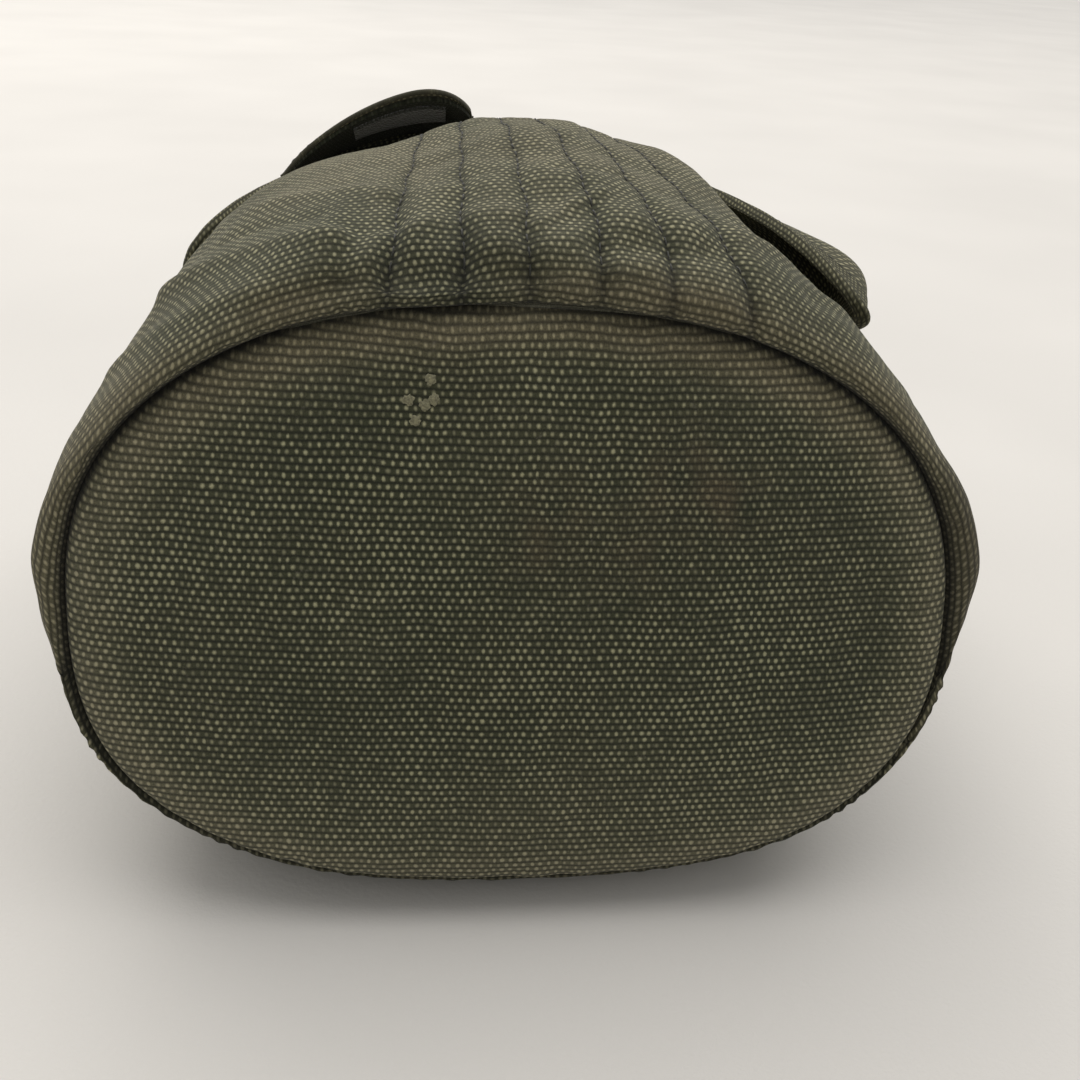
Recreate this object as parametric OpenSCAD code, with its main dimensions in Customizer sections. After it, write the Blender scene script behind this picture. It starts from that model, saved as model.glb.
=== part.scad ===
// Small oval canvas camera bag, lying on its back: +Z up, base towards -Y, mouth towards +Y.
// Millimetres. The origin is on the flat of the back wall, halfway from the base to the mouth.

/* [Body] */
// Half width of the base seam
seam_half_w = 81; // [74:1:88]
// Depth of the base seam, back to front
seam_depth = 101; // [96:1:106]
// Distance from the base seam to the mouth
body_len = 150; // [145:1:155]
// Greatest height of the front wall above the back
crest_h = 128; // [124:1:132]
// Half width of the mouth
mouth_half_w = 67; // [64:1:70]
// Lean of the base, as a slope
base_lean = 0.35; // [0.3:0.01:0.4]
// How far the base bulges out
base_dome = 7; // [4:1:9]

/* [Layers] */
// Thickness of the canvas
canvas_t = 1.6; // [1.2:0.1:1.8]
// Thickness of the wall's foam
foam_t = 6; // [4:0.5:6]
// Thickness of the lining
lining_t = 0.9; // [0.7:0.1:1]
// Thickness of the base's stiffening board
board_t = 1.5; // [1:0.1:2]
// Gap that keeps two layers apart
layer_gap = 0.2; // [0.15:0.05:0.25]

/* [Lid] */
// Clearance between the wall and the lid's skirt
lid_gap = 1.4; // [1.2:0.1:1.8]
// Thickness of the lid's two layers of canvas
lid_t = 2.2; // [2:0.1:2.4]
// Thickness of the lid's foam
lid_foam_t = 4; // [3:0.5:4]
// How far the lid's right ear bulges out
right_ear = 9; // [4:0.5:9]
// How far the lid's left ear bulges out
left_ear = 3; // [1:0.5:4]

/* [Closing tab] */
// Width of the closing tab
tab_w = 49; // [44:1:50]
// Length of the closing tab's free part
tab_len = 18; // [16:1:19]
// How far the tab's end curls up
tab_curl = 3.5; // [2:0.5:5]
// Thickness of the tab's canvas
tab_t = 1.2; // [1:0.1:1.3]
// Middle of the tab, to the side of the bag's middle
tab_x = -31.5; // [-33:0.5:-30]

/* [Rings] */
// Inside width of a D-ring
ring_w = 25; // [24:1:26]
// Inside depth of a D-ring
ring_d = 16; // [14:1:17]
// Radius of a D-ring's wire
wire_r = 1.5; // [1.4:0.1:1.6]
// Thickness of the webbing that holds a D-ring
webbing_t = 1.6; // [1.4:0.1:1.6]

/* [Divider] */
// Thickness of the padded divider
divider_t = 9; // [8:0.5:10]

/* [Hidden] */
$fn = 48;

turn_n = 60;                       // points round a section
mid_z = 7 + seam_depth / 2;        // height at which front and back halves meet
lean_end = 3.4;                    // station at which the lean has faded out
front_power = 2.3;                 // squareness of the front half of a section
back_power = 2.6;                  // squareness of the back half of a section
seam_angle = -9;                   // side seam, below the widest point

// One station: distance from the base seam, half width, height of the front, height of the back
stations = [
  [0, seam_half_w, mid_z + seam_depth / 2, mid_z - seam_depth / 2],
  [6, seam_half_w + 6, crest_h - 15, 2.4],
  [20, seam_half_w + 6, crest_h - 9, 0.4],
  [45, seam_half_w + 4.5, crest_h - 3, -0.8],
  [75, (seam_half_w + mouth_half_w) / 2 + 6, crest_h, -1],
  [100, (seam_half_w + mouth_half_w) / 2 + 2, crest_h - 3, -1],
  [body_len - 20, mouth_half_w + 4, crest_h - 12, -0.8],
  [body_len, mouth_half_w, crest_h - 21, -0.4],
  [body_len + 14, mouth_half_w - 3, crest_h - 24, 0.4]];
last = len(stations) - 1;
mouth_s = last - 1;

function spline(p, q, r, t, u) =
  0.5 * (2 * q + (r - p) * u + (2 * p - 5 * q + 4 * r - t) * u * u + (3 * q - p - 3 * r + t) * u * u * u);
// Values of the wall at station s, which need not be whole
function station(s) =
  let (i = min(max(floor(s), 0), last - 1), u = s - i)
  spline(stations[max(i - 1, 0)], stations[i], stations[i + 1], stations[min(i + 2, last)], u);
function power(v, n) = sign(v) * pow(abs(v), 2 / n);
function lean(s) = base_lean * pow(max(0, 1 - s / lean_end), 1.5);
// Point of the wall at station s and angle a, moved out by off, never below the floor it lies on
function wall_point(s, a, off = 0, floor_z = 0) =
  let (
    w = station(s),
    x = (w[1] + off) * power(cos(a), sin(a) >= 0 ? front_power : back_power),
    up = (w[2] + off - mid_z) * power(sin(a), front_power),
    down = (mid_z - w[3] + off) * power(sin(a), back_power),
    z = max(mid_z + (sin(a) >= 0 ? up : down), floor_z))
  [x, w[0] + lean(s) * (z - mid_z), z];
function steps(from, to, n) = [for (i = [0:n]) from + (to - from) * i / n];
// Grid of wall points: rows along the bag, columns round it
function wall_rows(ss, angles, off, floor_z = 0) =
  [for (s = ss) [for (a = angles) wall_point(s, a, off, floor_z)]];
function turn_angles(n = turn_n) = [for (i = [0:n - 1]) 360 * i / n];
function flat(rows) = [for (r = rows) for (p = r) p];

// Faces of a grid of quads between rows and columns, split into triangles
function quads(rows, cols, base, wrap, flip) = [
  for (i = [0:rows - 2]) for (j = [0:cols - (wrap ? 1 : 2)])
    let (
      k = (j + 1) % cols,
      a = base + i * cols + j, b = base + i * cols + k,
      c = base + (i + 1) * cols + k, d = base + (i + 1) * cols + j)
    each flip ? [[a, b, c], [a, c, d]] : [[a, c, b], [a, d, c]]];
// Triangles between two lists of point numbers
function band(p, q, wrap = false) = [
  for (j = [0:len(p) - (wrap ? 1 : 2)])
    let (k = (j + 1) % len(p))
    each [[p[j], p[k], q[k]], [p[j], q[k], q[j]]]];
function fan(ring, centre, flip) = [
  for (j = [0:len(ring) - 1])
    let (k = (j + 1) % len(ring))
    flip ? [ring[j], centre, ring[k]] : [ring[j], ring[k], centre]];

// Patch of cloth between an outer and an inner grid
module patch(outer, inner) {
  rows = len(outer);
  cols = len(outer[0]);
  count = rows * cols;
  foot = [for (j = [0:cols - 1]) j];
  head = [for (j = [0:cols - 1]) (rows - 1) * cols + j];
  first = [for (i = [0:rows - 1]) i * cols];
  final = [for (i = [0:rows - 1]) i * cols + cols - 1];
  polyhedron(concat(flat(outer), flat(inner)), concat(
    quads(rows, cols, 0, false, true), quads(rows, cols, count, false, false),
    band(foot + count * [for (j = foot) 1], foot), band(head, head + count * [for (j = head) 1]),
    band(first, first + count * [for (i = first) 1]), band(final + count * [for (i = final) 1], final)));
}

// Sleeve of cloth or foam, closed round the bag
module sleeve(outer, inner) {
  rows = len(outer);
  cols = len(outer[0]);
  count = rows * cols;
  foot = [for (j = [0:cols - 1]) j];
  head = [for (j = [0:cols - 1]) (rows - 1) * cols + j];
  polyhedron(concat(flat(outer), flat(inner)), concat(
    quads(rows, cols, 0, true, true), quads(rows, cols, count, true, false),
    band(foot + count * [for (j = foot) 1], foot, true),
    band(head, head + count * [for (j = head) 1], true)));
}

// Domed disc: rings from the rim inwards on both sides, and a middle point for each side
module domed_disc(front, front_mid, back, back_mid) {
  rows = len(front);
  cols = len(front[0]);
  count = rows * cols;
  rim = [for (j = [0:cols - 1]) j];
  eye = [for (j = [0:cols - 1]) (rows - 1) * cols + j];
  polyhedron(concat(flat(front), flat(back), [front_mid, back_mid]), concat(
    quads(rows, cols, 0, true, false), quads(rows, cols, count, true, true),
    fan(eye, 2 * count, true), fan(eye + count * [for (j = eye) 1], 2 * count + 1, false),
    band(rim, rim + count * [for (j = rim) 1], true)));
}

// The layers are laid out from the base seam, and this puts the origin below the middle
module placed() {
  translate([0, -body_len / 2, 0]) children();
}

// ---- sewn shell ----

wall_ss = [0, 0.25, 0.5, 0.75, 1, 1.5, 2, 2.5, 3, 3.5, 4, 4.5, 5, 5.5, 6, 6.5, 7];

module half_wall(from, to) {
  angles = steps(from, to, 30);
  patch(wall_rows(wall_ss, angles, 0), wall_rows(wall_ss, angles, -canvas_t, canvas_t));
}

module front_canvas() {
  placed() color("#4d4f3e") half_wall(seam_angle + 0.3, 180 - seam_angle - 0.3);
}

module back_canvas() {
  placed() color("#4a4c3b") half_wall(180 - seam_angle, 360 + seam_angle);
}

disc_rings = [1, 0.96, 0.88, 0.7, 0.4];

// Point of the base at ring k: 1 at the rim and 0 in the middle
function base_point(k, a, depth, shrink) =
  let (
    p = wall_point(0, a, -shrink),
    z = mid_z + k * (p[2] - mid_z))
  [k * p[0], base_lean * (z - mid_z) - base_dome * (1 - pow(k, 3)) + depth, z];

module base_canvas() {
  rim_gap = canvas_t + layer_gap;
  angles = turn_angles();
  placed() color("#45473a") domed_disc(
    [for (k = disc_rings) [for (a = angles) base_point(k, a, 0.4, rim_gap)]], base_point(0, 0, 0.4, 0),
    [for (k = disc_rings) [for (a = angles) base_point(k, a, 0.4 + canvas_t, rim_gap)]],
    base_point(0, 0, 0.4 + canvas_t, 0));
}

// Outline of the bag's inside at the leaning base, drawn in the base's own plane
module base_outline(inset) {
  stretch = sqrt(1 + base_lean * base_lean);
  polygon([for (a = turn_angles()) let (p = wall_point(0, a, -inset)) [p[0], (p[2] - mid_z) * stretch]]);
}

// Flat oval layer that lies against the inside of the base, from depth to depth + t
module base_layer(inset, depth, t) {
  translate([0, 0, mid_z]) rotate([90 - atan(base_lean), 0, 0])
    translate([0, 0, -depth - t]) linear_extrude(t) base_outline(inset);
}

tape_in = canvas_t + 2 * layer_gap;
tape_t = 2.2;
tape_at = 2.4;
tape_w = 5;
board_at = 2.8;
base_foam_at = board_at + board_t + layer_gap;
base_lining_at = base_foam_at + foam_t + layer_gap;

// Tape round the inside of the base seam
module base_seam_tape() {
  placed() color("#33352b") difference() {
    base_layer(tape_in, tape_at, tape_w);
    base_layer(tape_in + tape_t, tape_at - 1, tape_w + 2);
  }
}

module base_board() {
  placed() color("#2b2b28") base_layer(9, board_at, board_t);
}

module base_foam() {
  placed() color("#4a4a4a") base_layer(tape_in + tape_t + 6.2, base_foam_at, foam_t);
}

module base_lining() {
  placed() color("#6b6a58") base_layer(tape_in + foam_t + lining_t + 3, base_lining_at, lining_t);
}

inner_ss = [1.4, 1.8, 2.4, 3, 3.6, 4.2, 4.8, 5.4, 6, 6.5, 6.93];

module wall_foam() {
  inset = canvas_t + layer_gap;
  placed() color("#4a4a4a") sleeve(
    wall_rows(inner_ss, turn_angles(), -inset, inset),
    wall_rows(inner_ss, turn_angles(), -inset - foam_t, inset + foam_t));
}

lining_in = canvas_t + foam_t + 2 * layer_gap;
inside_off = lining_in + lining_t;

module wall_lining() {
  placed() color("#6b6a58") sleeve(
    wall_rows(inner_ss, turn_angles(), -lining_in, lining_in),
    wall_rows(inner_ss, turn_angles(), -inside_off, inside_off));
}

module side_seam_tapes() {
  ss = steps(1.02, 1.36, 2);
  for (mid = [seam_angle, 180 - seam_angle]) {
    angles = steps(mid - 3, mid + 3, 4);
    placed() color("#33352b") patch(
      wall_rows(ss, angles, -tape_in - 0.3), wall_rows(ss, angles, -tape_in - 1.5));
  }
}

// Band that closes the layers at the mouth
module mouth_binding() {
  ss = [mouth_s + 0.02, mouth_s + 0.14];
  placed() color("#3c3e31") sleeve(
    wall_rows(ss, turn_angles(), 0), wall_rows(ss, turn_angles(), -inside_off, inside_off));
}

// Loop tape on the front wall, where the closing tab is pressed down
module wall_loop_patch() {
  ss = steps(5.3, 5.85, 4);
  angles = steps(98, 117, 6);
  placed() color("#25261f") patch(wall_rows(ss, angles, 1), wall_rows(ss, angles, 0.1));
}

// Loop tape inside the bag, to which the divider's edges are pressed
strip_t = 1;
strip_gap = 0.6;
strip_ss = steps(2.2, 5.8, 6);
strip_half = 18;

module divider_loop_strips() {
  off = inside_off + strip_gap;
  for (side = [1, -1]) {
    angles = side > 0 ? steps(78, 102, 4) : steps(258, 282, 4);
    placed() color("#25261f") patch(
      wall_rows(strip_ss, angles, -off, off), wall_rows(strip_ss, angles, -off - strip_t, off + strip_t));
  }
}

// ---- rings at the sides ----

loop_y = 120;                      // where the ring's bar lies along the bag
loop_z = 48;                       // height of the middle of the ring
loop_x = 76.2;                     // distance of the ring's bar from the middle
loop_turn = 9;                     // the rings follow the taper of the wall
loop_len = 22;
bar_room = 0.08;                   // running clearance round the bar
bow_r = ring_w / 2 + wire_r;

// Puts a ring or its loop on the side wall
module on_side(side) {
  mirror([side < 0 ? 1 : 0, 0, 0]) translate([loop_x, loop_y, loop_z]) rotate([0, 0, loop_turn]) children();
}

// Webbing folded round the bar of a ring and sewn to the wall
module ring_loop(side) {
  on_side(side) difference() {
    translate([0, 0, -ring_w / 2 + 0.6]) linear_extrude(ring_w - 1.2) {
      circle(wire_r + bar_room + webbing_t);
      translate([-webbing_t - wire_r - bar_room, -loop_len]) square([2 * webbing_t, loop_len]);
    }
    cylinder(h = ring_w + 4, r = wire_r + bar_room, center = true);
  }
}

module left_ring_loop() {
  placed() color("#3f4134") ring_loop(-1);
}

module right_ring_loop() {
  placed() color("#3f4134") ring_loop(1);
}

// D-ring in its own plane: bar along Z, bow towards +Y
module d_ring(side) {
  reach = ring_d + wire_r - bow_r + 6;
  on_side(side) {
    cylinder(h = 2 * bow_r, r = wire_r, center = true);
    for (end = [-1, 1]) translate([0, 0, end * bow_r]) {
      sphere(wire_r);
      rotate([-90, 0, 0]) cylinder(h = reach, r = wire_r);
    }
    translate([0, reach, 0]) rotate([0, 90, 0]) rotate_extrude(angle = 180) translate([bow_r, 0]) circle(wire_r);
  }
}

module left_d_ring() {
  placed() color("#8c7a4c") d_ring(-1);
}

module right_d_ring() {
  placed() color("#8c7a4c") d_ring(1);
}

// ---- padded divider ----

divider_clear = 1.8;               // room between the divider and the loop strips
hook_t = 1;

// Side outline of the divider: along the front wall and back along the back wall
module divider_profile() {
  off = inside_off + strip_gap + strip_t + divider_clear;
  polygon(concat(
    [for (s = steps(2.8, 5.7, 10)) let (w = station(s)) [w[0], w[2] - off]],
    [for (s = steps(5.7, 2.1, 10)) let (w = station(s)) [w[0], max(w[3], 0) + off]]));
}

// Stands a profile of the bag's side view up across the bag, t thick
module across(t) {
  rotate([90, 0, 90]) translate([0, 0, -t / 2]) linear_extrude(t) children();
}

module divider_foam() {
  placed() color("#4a4a4a") across(divider_t - 2 * lining_t) offset(delta = -2 * hook_t - 0.4) divider_profile();
}

module divider_cover() {
  placed() color("#6b6a58") difference() {
    across(divider_t) offset(delta = -hook_t) divider_profile();
    across(divider_t - 2 * lining_t + 0.2) offset(delta = -2 * hook_t - 0.3) divider_profile();
  }
}

// Hook tape along the two long edges of the divider
module divider_hook_strips() {
  placed() color("#25261f") across(divider_t - 1) intersection() {
    difference() {
      divider_profile();
      offset(delta = -hook_t + 0.1) divider_profile();
    }
    translate([50, 0]) square([65, 130]);
  }
}

// ---- lid ----

panel_y = body_len + 9;
panel_dome = 4;
hinge_y = panel_y + lid_t / 2;
hinge_z = 3;
hinge_room = 2.1;                  // radius kept clear round the lid's hinge line
panel_foot = hinge_z + 1.2;
skirt_end = mouth_s + 0.62;
ear_spread = 17;                   // angle over which an ear spreads
brim_lift = 2.6;                   // how far the edge stands off the wall, right of the crest

// Angle above the side of the bag, on whichever side it is
function side_angle(a) = a > 90 ? 180 - a : a;
// Where the skirt's edge runs, as a station: short over the front, long at the ears
function skirt_edge(a) =
  let (
    side = side_angle(a),
    ear = exp(-pow((side - (a > 90 ? 28 : 25)) / ear_spread, 2)),
    foot = 1 / (1 + exp((side - 11) / 3.5)))
  6.35 - (a > 90 ? 1.6 : 2.6) * ear + 0.75 * foot;
// How far the skirt bulges at angle a, t of the way from its edge to the panel
function skirt_bulge(a, t) =
  ((a > 90 ? left_ear : right_ear) * exp(-pow((side_angle(a) - 21) / (a > 90 ? 9 : 14), 2))
    * (0.12 + 0.88 * sin(180 * min(1, t * 1.6)))
    + brim_lift * exp(-pow((a - 51) / 15, 2))) * pow(1 - t, 0.7);
skirt_angles = steps(-38, 218, 56);
function skirt_point(a, t, off) =
  let (edge = skirt_edge(a), s = edge + (skirt_end - edge) * t)
  wall_point(s, a, off + skirt_bulge(a, t), panel_foot);
function skirt_rows(ts, off) = [for (t = ts) [for (a = skirt_angles) skirt_point(a, t, off)]];

module lid_skirt() {
  ts = [0.05, 0.12, 0.2, 0.3, 0.4, 0.5, 0.6, 0.7, 0.8, 0.9, 1];
  placed() color("#4b4d3d") patch(skirt_rows(ts, lid_gap + lid_t), skirt_rows(ts, lid_gap));
}

// Binding tape along the free edge of the skirt
module lid_skirt_binding() {
  ts = [0, 0.02, 0.045];
  placed() color("#3a3c30") patch(skirt_rows(ts, lid_gap + lid_t + 0.3), skirt_rows(ts, lid_gap - 0.3));
}

// Point of the lid's end panel at ring k
function panel_point(k, a, depth) =
  let (
    p = wall_point(mouth_s + 0.6, a, lid_gap - 0.2, panel_foot),
    z = mid_z + k * (p[2] - mid_z))
  [k * p[0], panel_y + panel_dome * (1 - pow(k, 3)) + depth, z];

module lid_panel() {
  angles = turn_angles();
  placed() color("#4b4d3d") domed_disc(
    [for (k = disc_rings) [for (a = angles) panel_point(k, a, 0)]], panel_point(0, 0, 0),
    [for (k = disc_rings) [for (a = angles) panel_point(k, a, lid_t)]], panel_point(0, 0, lid_t));
}

module lid_layer(inset, y, t) {
  translate([0, y + t, 0]) rotate([90, 0, 0]) linear_extrude(t)
    polygon([for (a = turn_angles()) let (p = wall_point(mouth_s, a, -inset)) [p[0], p[2]]]);
}

lid_lining_y = body_len + 2.9;

module lid_lining() {
  placed() color("#6b6a58") lid_layer(6.6, lid_lining_y, lining_t);
}

module lid_foam() {
  placed() color("#4a4a4a") lid_layer(7, lid_lining_y + lining_t + layer_gap, lid_foam_t);
}

// Strip of canvas on which the lid turns, sewn to the back wall at the mouth
module lid_hinge_strip() {
  strip_w = 76;
  strip_y = body_len + 2.8;
  placed() color("#3f4134") translate([-strip_w / 2, strip_y, hinge_z - canvas_t / 2])
    cube([strip_w, hinge_y - hinge_room - strip_y, canvas_t]);
}

// ---- closing tab ----

tab_y = body_len - 14;             // fold line of the tab, on the lid's skirt
tab_lie = lid_gap + lid_t + 0.8;   // how high the tab lies above the wall
tab_us = steps(0, 1, 16);
tab_vs = steps(0, 1, 8);
tab_layer_gap = 0.15;

// Height of the wall's top above a point of the plan
function top_z(x, y, off) =
  let (
    s = y > body_len - 20 ? mouth_s - 1 + (y - body_len + 20) / 20 : mouth_s - 2 + (y - 100) / (body_len - 120),
    w = station(s))
  mid_z + (w[2] + off - mid_z) * pow(1 - pow(abs(x) / (w[1] + off), front_power), 1 / front_power);
// Outline of the tab: how long it is at u, across its width
function tab_reach(u) =
  let (k = u < 0.68 ? (0.68 - u) / 0.68 : (u - 0.68) / 0.32)
  2 + (tab_len - 2) * pow(1 - pow(k, 2.2), 0.6);
// Point of the tab's underside, lifted by up
function tab_point(u, v, up) =
  let (
    x = tab_x + (u - 0.5) * tab_w,
    d = v * tab_reach(u),
    curl = tab_curl * pow(d / tab_len, 1.4))
  [x, tab_y - d, top_z(x, tab_y - d, tab_lie) + curl + up];
function tab_rows(us, vs, up) = [for (v = vs) [for (u = us) tab_point(u, v, up)]];

module tab_canvas() {
  low = tab_t + tab_layer_gap;
  placed() color("#4b4d3d") patch(tab_rows(tab_us, tab_vs, low + tab_t), tab_rows(tab_us, tab_vs, low));
}

module tab_lining() {
  us = steps(0.02, 0.98, 16);
  vs = steps(0.02, 0.97, 8);
  placed() color("#33352b") patch(tab_rows(us, vs, tab_t), tab_rows(us, vs, 0));
}

module tab_hook_patch() {
  us = steps(0.4, 0.86, 6);
  vs = steps(0.4, 0.86, 4);
  placed() color("#25261f") patch(tab_rows(us, vs, -0.1), tab_rows(us, vs, -1.1));
}

// End of the tab that is sewn down on the lid
module tab_root() {
  us = steps(0, 1, 16);
  vs = steps(0, 1, 3);
  function rows(up) = [for (v = vs) [for (u = us)
    let (x = tab_x + (u - 0.5) * tab_w, y = tab_y + 11 - 9 * v)
    [x, y, top_z(x, y, tab_lie) + up]]];
  placed() color("#4b4d3d") patch(rows(tab_t), rows(0.1));
}

front_canvas();
back_canvas();
base_canvas();
base_seam_tape();
side_seam_tapes();
base_board();
base_foam();
base_lining();
wall_foam();
wall_lining();
mouth_binding();
wall_loop_patch();
divider_loop_strips();
left_ring_loop();
right_ring_loop();
left_d_ring();
right_d_ring();
divider_foam();
divider_cover();
divider_hook_strips();
lid_skirt();
lid_skirt_binding();
lid_panel();
lid_foam();
lid_lining();
lid_hinge_strip();
tab_root();
tab_canvas();
tab_lining();
tab_hook_patch();
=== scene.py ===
"""A small oval canvas camera bag, lying on its back, built around its fixed frame."""

import math

import bpy
import numpy as np
from mathutils import Matrix, Vector


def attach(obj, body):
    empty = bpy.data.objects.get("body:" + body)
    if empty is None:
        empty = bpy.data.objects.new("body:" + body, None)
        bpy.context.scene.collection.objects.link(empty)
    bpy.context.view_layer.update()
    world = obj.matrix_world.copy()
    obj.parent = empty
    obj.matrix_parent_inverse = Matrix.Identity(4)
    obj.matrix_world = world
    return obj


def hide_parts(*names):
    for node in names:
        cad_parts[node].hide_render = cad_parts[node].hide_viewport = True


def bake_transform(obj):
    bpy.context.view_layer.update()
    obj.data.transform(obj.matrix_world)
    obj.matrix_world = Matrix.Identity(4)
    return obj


bl_info = {
    "name": "Canvas Camera Bag",
    "version": (1, 0, 0),
    "blender": (4, 5, 0),
    "location": "3D View > Sidebar > Camera Bag",
    "description": "Builds a small padded canvas camera bag around its fixed frame",
    "category": "Object",
}

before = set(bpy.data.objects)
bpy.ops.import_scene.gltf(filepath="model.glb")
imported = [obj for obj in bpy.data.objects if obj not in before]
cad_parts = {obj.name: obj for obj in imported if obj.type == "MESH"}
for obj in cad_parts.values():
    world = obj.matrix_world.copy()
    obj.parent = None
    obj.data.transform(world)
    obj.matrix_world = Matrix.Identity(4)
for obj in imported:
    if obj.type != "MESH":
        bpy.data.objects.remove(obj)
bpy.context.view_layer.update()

# ---------------------------------------------------------------- the bag's pattern, in millimetres

SEAM_TO_MOUTH = 150.0
MID_Z = 57.5
BASE_LEAN = 0.35
BASE_DOME = 7.0
FRONT_POWER = 2.3
BACK_POWER = 2.6
SIDE_SEAM = -9.0
# distance from the base seam, half width, height of the front, height of the back
STATIONS = np.array([
    (0, 81, 108, 7),
    (6, 87, 113, 2.4),
    (20, 87, 119, 0.4),
    (45, 85.5, 125, -0.8),
    (75, 80, 128, -1),
    (100, 76, 125, -1),
    (130, 71, 116, -0.8),
    (150, 67, 107, -0.4),
    (164, 64, 104, 0.4),
], dtype=float)
LAST = len(STATIONS) - 1
# length of cloth from the base seam to each station
CLOTH_AT = (0, 9, 23, 48, 78, 103, 133, 153, 167)
# the wall rolls over the base seam: cloth length, how much farther out and forward than the plain wall
ROLL = np.array([
    (0.0, -0.5, -2.2),
    (0.6, -0.3, -0.9),
    (1.2, -0.1, 0.4),
    (2.4, 0.2, 2.0),
    (4.0, 0.6, 3.0),
    (6.0, 0.7, 3.2),
    (9.0, 0.2, 2.6),
    (14.0, 0.0, 1.4),
    (24.0, 0.0, 0.0),
])
# the base puffs a little inside its seam: distance in from the seam, how far back
BASE_EDGE = np.array([
    (0.0, 2.2),
    (0.4, 1.1),
    (0.9, 0.2),
    (1.8, -0.6),
    (4.0, -1.2),
    (9.0, -1.0),
    (16.0, -0.4),
    (30.0, 0.0),
])
# the lid: its gap from the wall, its thickness, where its end panel is sewn, its height over the table
LID_GAP = 1.4
LID_T = 2.2
PANEL_Y = 159.0
PANEL_FOOT = 4.2
# the closing tab: its middle, width, fold, length, how far it curls up, and its height over the wall
TAB_X = -31.5
TAB_W = 49.0
TAB_Y = 136.0
TAB_LEN = 18.0
TAB_CURL = 3.5
TAB_LIE = LID_GAP + LID_T + 0.8
# the lining: how far inside the wall it lies, and the half thickness that keeps its cloth inside that
LINING_IN = 8.0
LINING_HALF = 0.9
# a ring's webbing loop: its place on the right side, and its turn in degrees
LOOP = (76.2, 120.0, 48.0)
LOOP_TURN = 9.0
# millimetres between raised threads of the canvas, across the bag and along it
WARP_PITCH = 1.53
WEFT_PITCH = 1.30
# how flat cloth may come to the table, and how small a row of a grid counts as a single point
LOWEST = 0.15
POINT_SIZE = 0.2
# frames in which the slack cloth settles
SETTLE_FRAMES = 20


def smooth_step(x, low, high):
    t = np.clip((x - low) / (high - low), 0, 1)
    return t * t * (3 - 2 * t)


def bump_at(x, centre, width):
    return np.exp(-(((x - centre) / width) ** 2))


def smooth_curve(x, xs, ys):
    """A smooth curve through points, flat outside them."""
    xs, ys = np.asarray(xs, float), np.asarray(ys, float)
    slope = np.gradient(ys, xs)
    x = np.clip(x, xs[0], xs[-1])
    i = np.clip(np.searchsorted(xs, x, side="right") - 1, 0, len(xs) - 2)
    h = xs[i + 1] - xs[i]
    t = (x - xs[i]) / h
    a = (2 * t**3 - 3 * t**2 + 1) * ys[i] + (t**3 - 2 * t**2 + t) * h * slope[i]
    b = (3 * t**2 - 2 * t**3) * ys[i + 1] + (t**3 - t**2) * h * slope[i + 1]
    return a + b


def ripple(p, size, seed, waves=9):
    """Soft unevenness about size across, from -1 to 1."""
    rng = np.random.default_rng(seed)
    total = 0
    for _ in range(waves):
        way = rng.normal(size=3)
        way *= 2 * math.pi / (size * rng.uniform(0.7, 1.6)) / np.linalg.norm(way)
        total = total + np.sin(p @ way + rng.uniform(0, 6.28))
    return total / math.sqrt(waves) / 1.6


def mottle(p, size, seed):
    """Soft unevenness about size across, from 0 to 1."""
    return 0.5 + 0.5 * ripple(p, size, seed)


def run_along(points):
    """Distance from the first point to each, along the line they make."""
    return np.concatenate([[0], np.cumsum(np.linalg.norm(np.diff(points, axis=0), axis=1))])


def station(s):
    """The row of STATIONS at a number that may lie between two of them."""
    s = np.asarray(s, float)
    i = np.clip(np.floor(s).astype(int), 0, LAST - 1)
    u = (s - i)[..., None]
    a, b = STATIONS[np.maximum(i - 1, 0)], STATIONS[i]
    c, d = STATIONS[i + 1], STATIONS[np.minimum(i + 2, LAST)]
    square, cube = 2 * a - 5 * b + 4 * c - d, 3 * b - a - 3 * c + d
    return 0.5 * (2 * b + (c - a) * u + square * u**2 + cube * u**3)


def wall(s, angle, off=0.0, floor=0.0):
    """Point of the wall at a station and an angle round the bag, moved out by off."""
    s, angle = np.broadcast_arrays(np.asarray(s, float), np.asarray(angle, float))
    w = station(s)
    c, n = np.cos(np.radians(angle)), np.sin(np.radians(angle))
    front = n >= 0
    x = (w[..., 1] + off) * np.sign(c) * np.abs(c) ** np.where(front, 2 / FRONT_POWER, 2 / BACK_POWER)
    up = (w[..., 2] + off - MID_Z) * np.abs(n) ** (2 / FRONT_POWER)
    down = (MID_Z - w[..., 3] + off) * np.abs(n) ** (2 / BACK_POWER)
    z = np.maximum(MID_Z + np.where(front, up, -down), floor)
    lean = BASE_LEAN * np.clip(1 - s / 3.4, 0, None) ** 1.5
    return np.stack([x, w[..., 0] + lean * (z - MID_Z), z], -1)


def seam_wander(angle):
    """How far the base seam strays forward of its plane, as a hand-sewn seam does."""
    a = np.radians(angle)
    x = 81 * np.sign(np.cos(a)) * np.abs(np.cos(a)) ** 0.87
    dips = 1.7 * bump_at(x, -14, 9) - 1.0 * bump_at(x, -37, 9)
    dips = dips - 0.9 * bump_at(x, 4, 10) + 0.5 * bump_at(x, 24, 8)
    return 0.3 * np.sin(3 * a + 0.6) + 0.25 * np.sin(7 * a + 2) + smooth_step(np.sin(a), 0.4, 0.8) * dips


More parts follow.
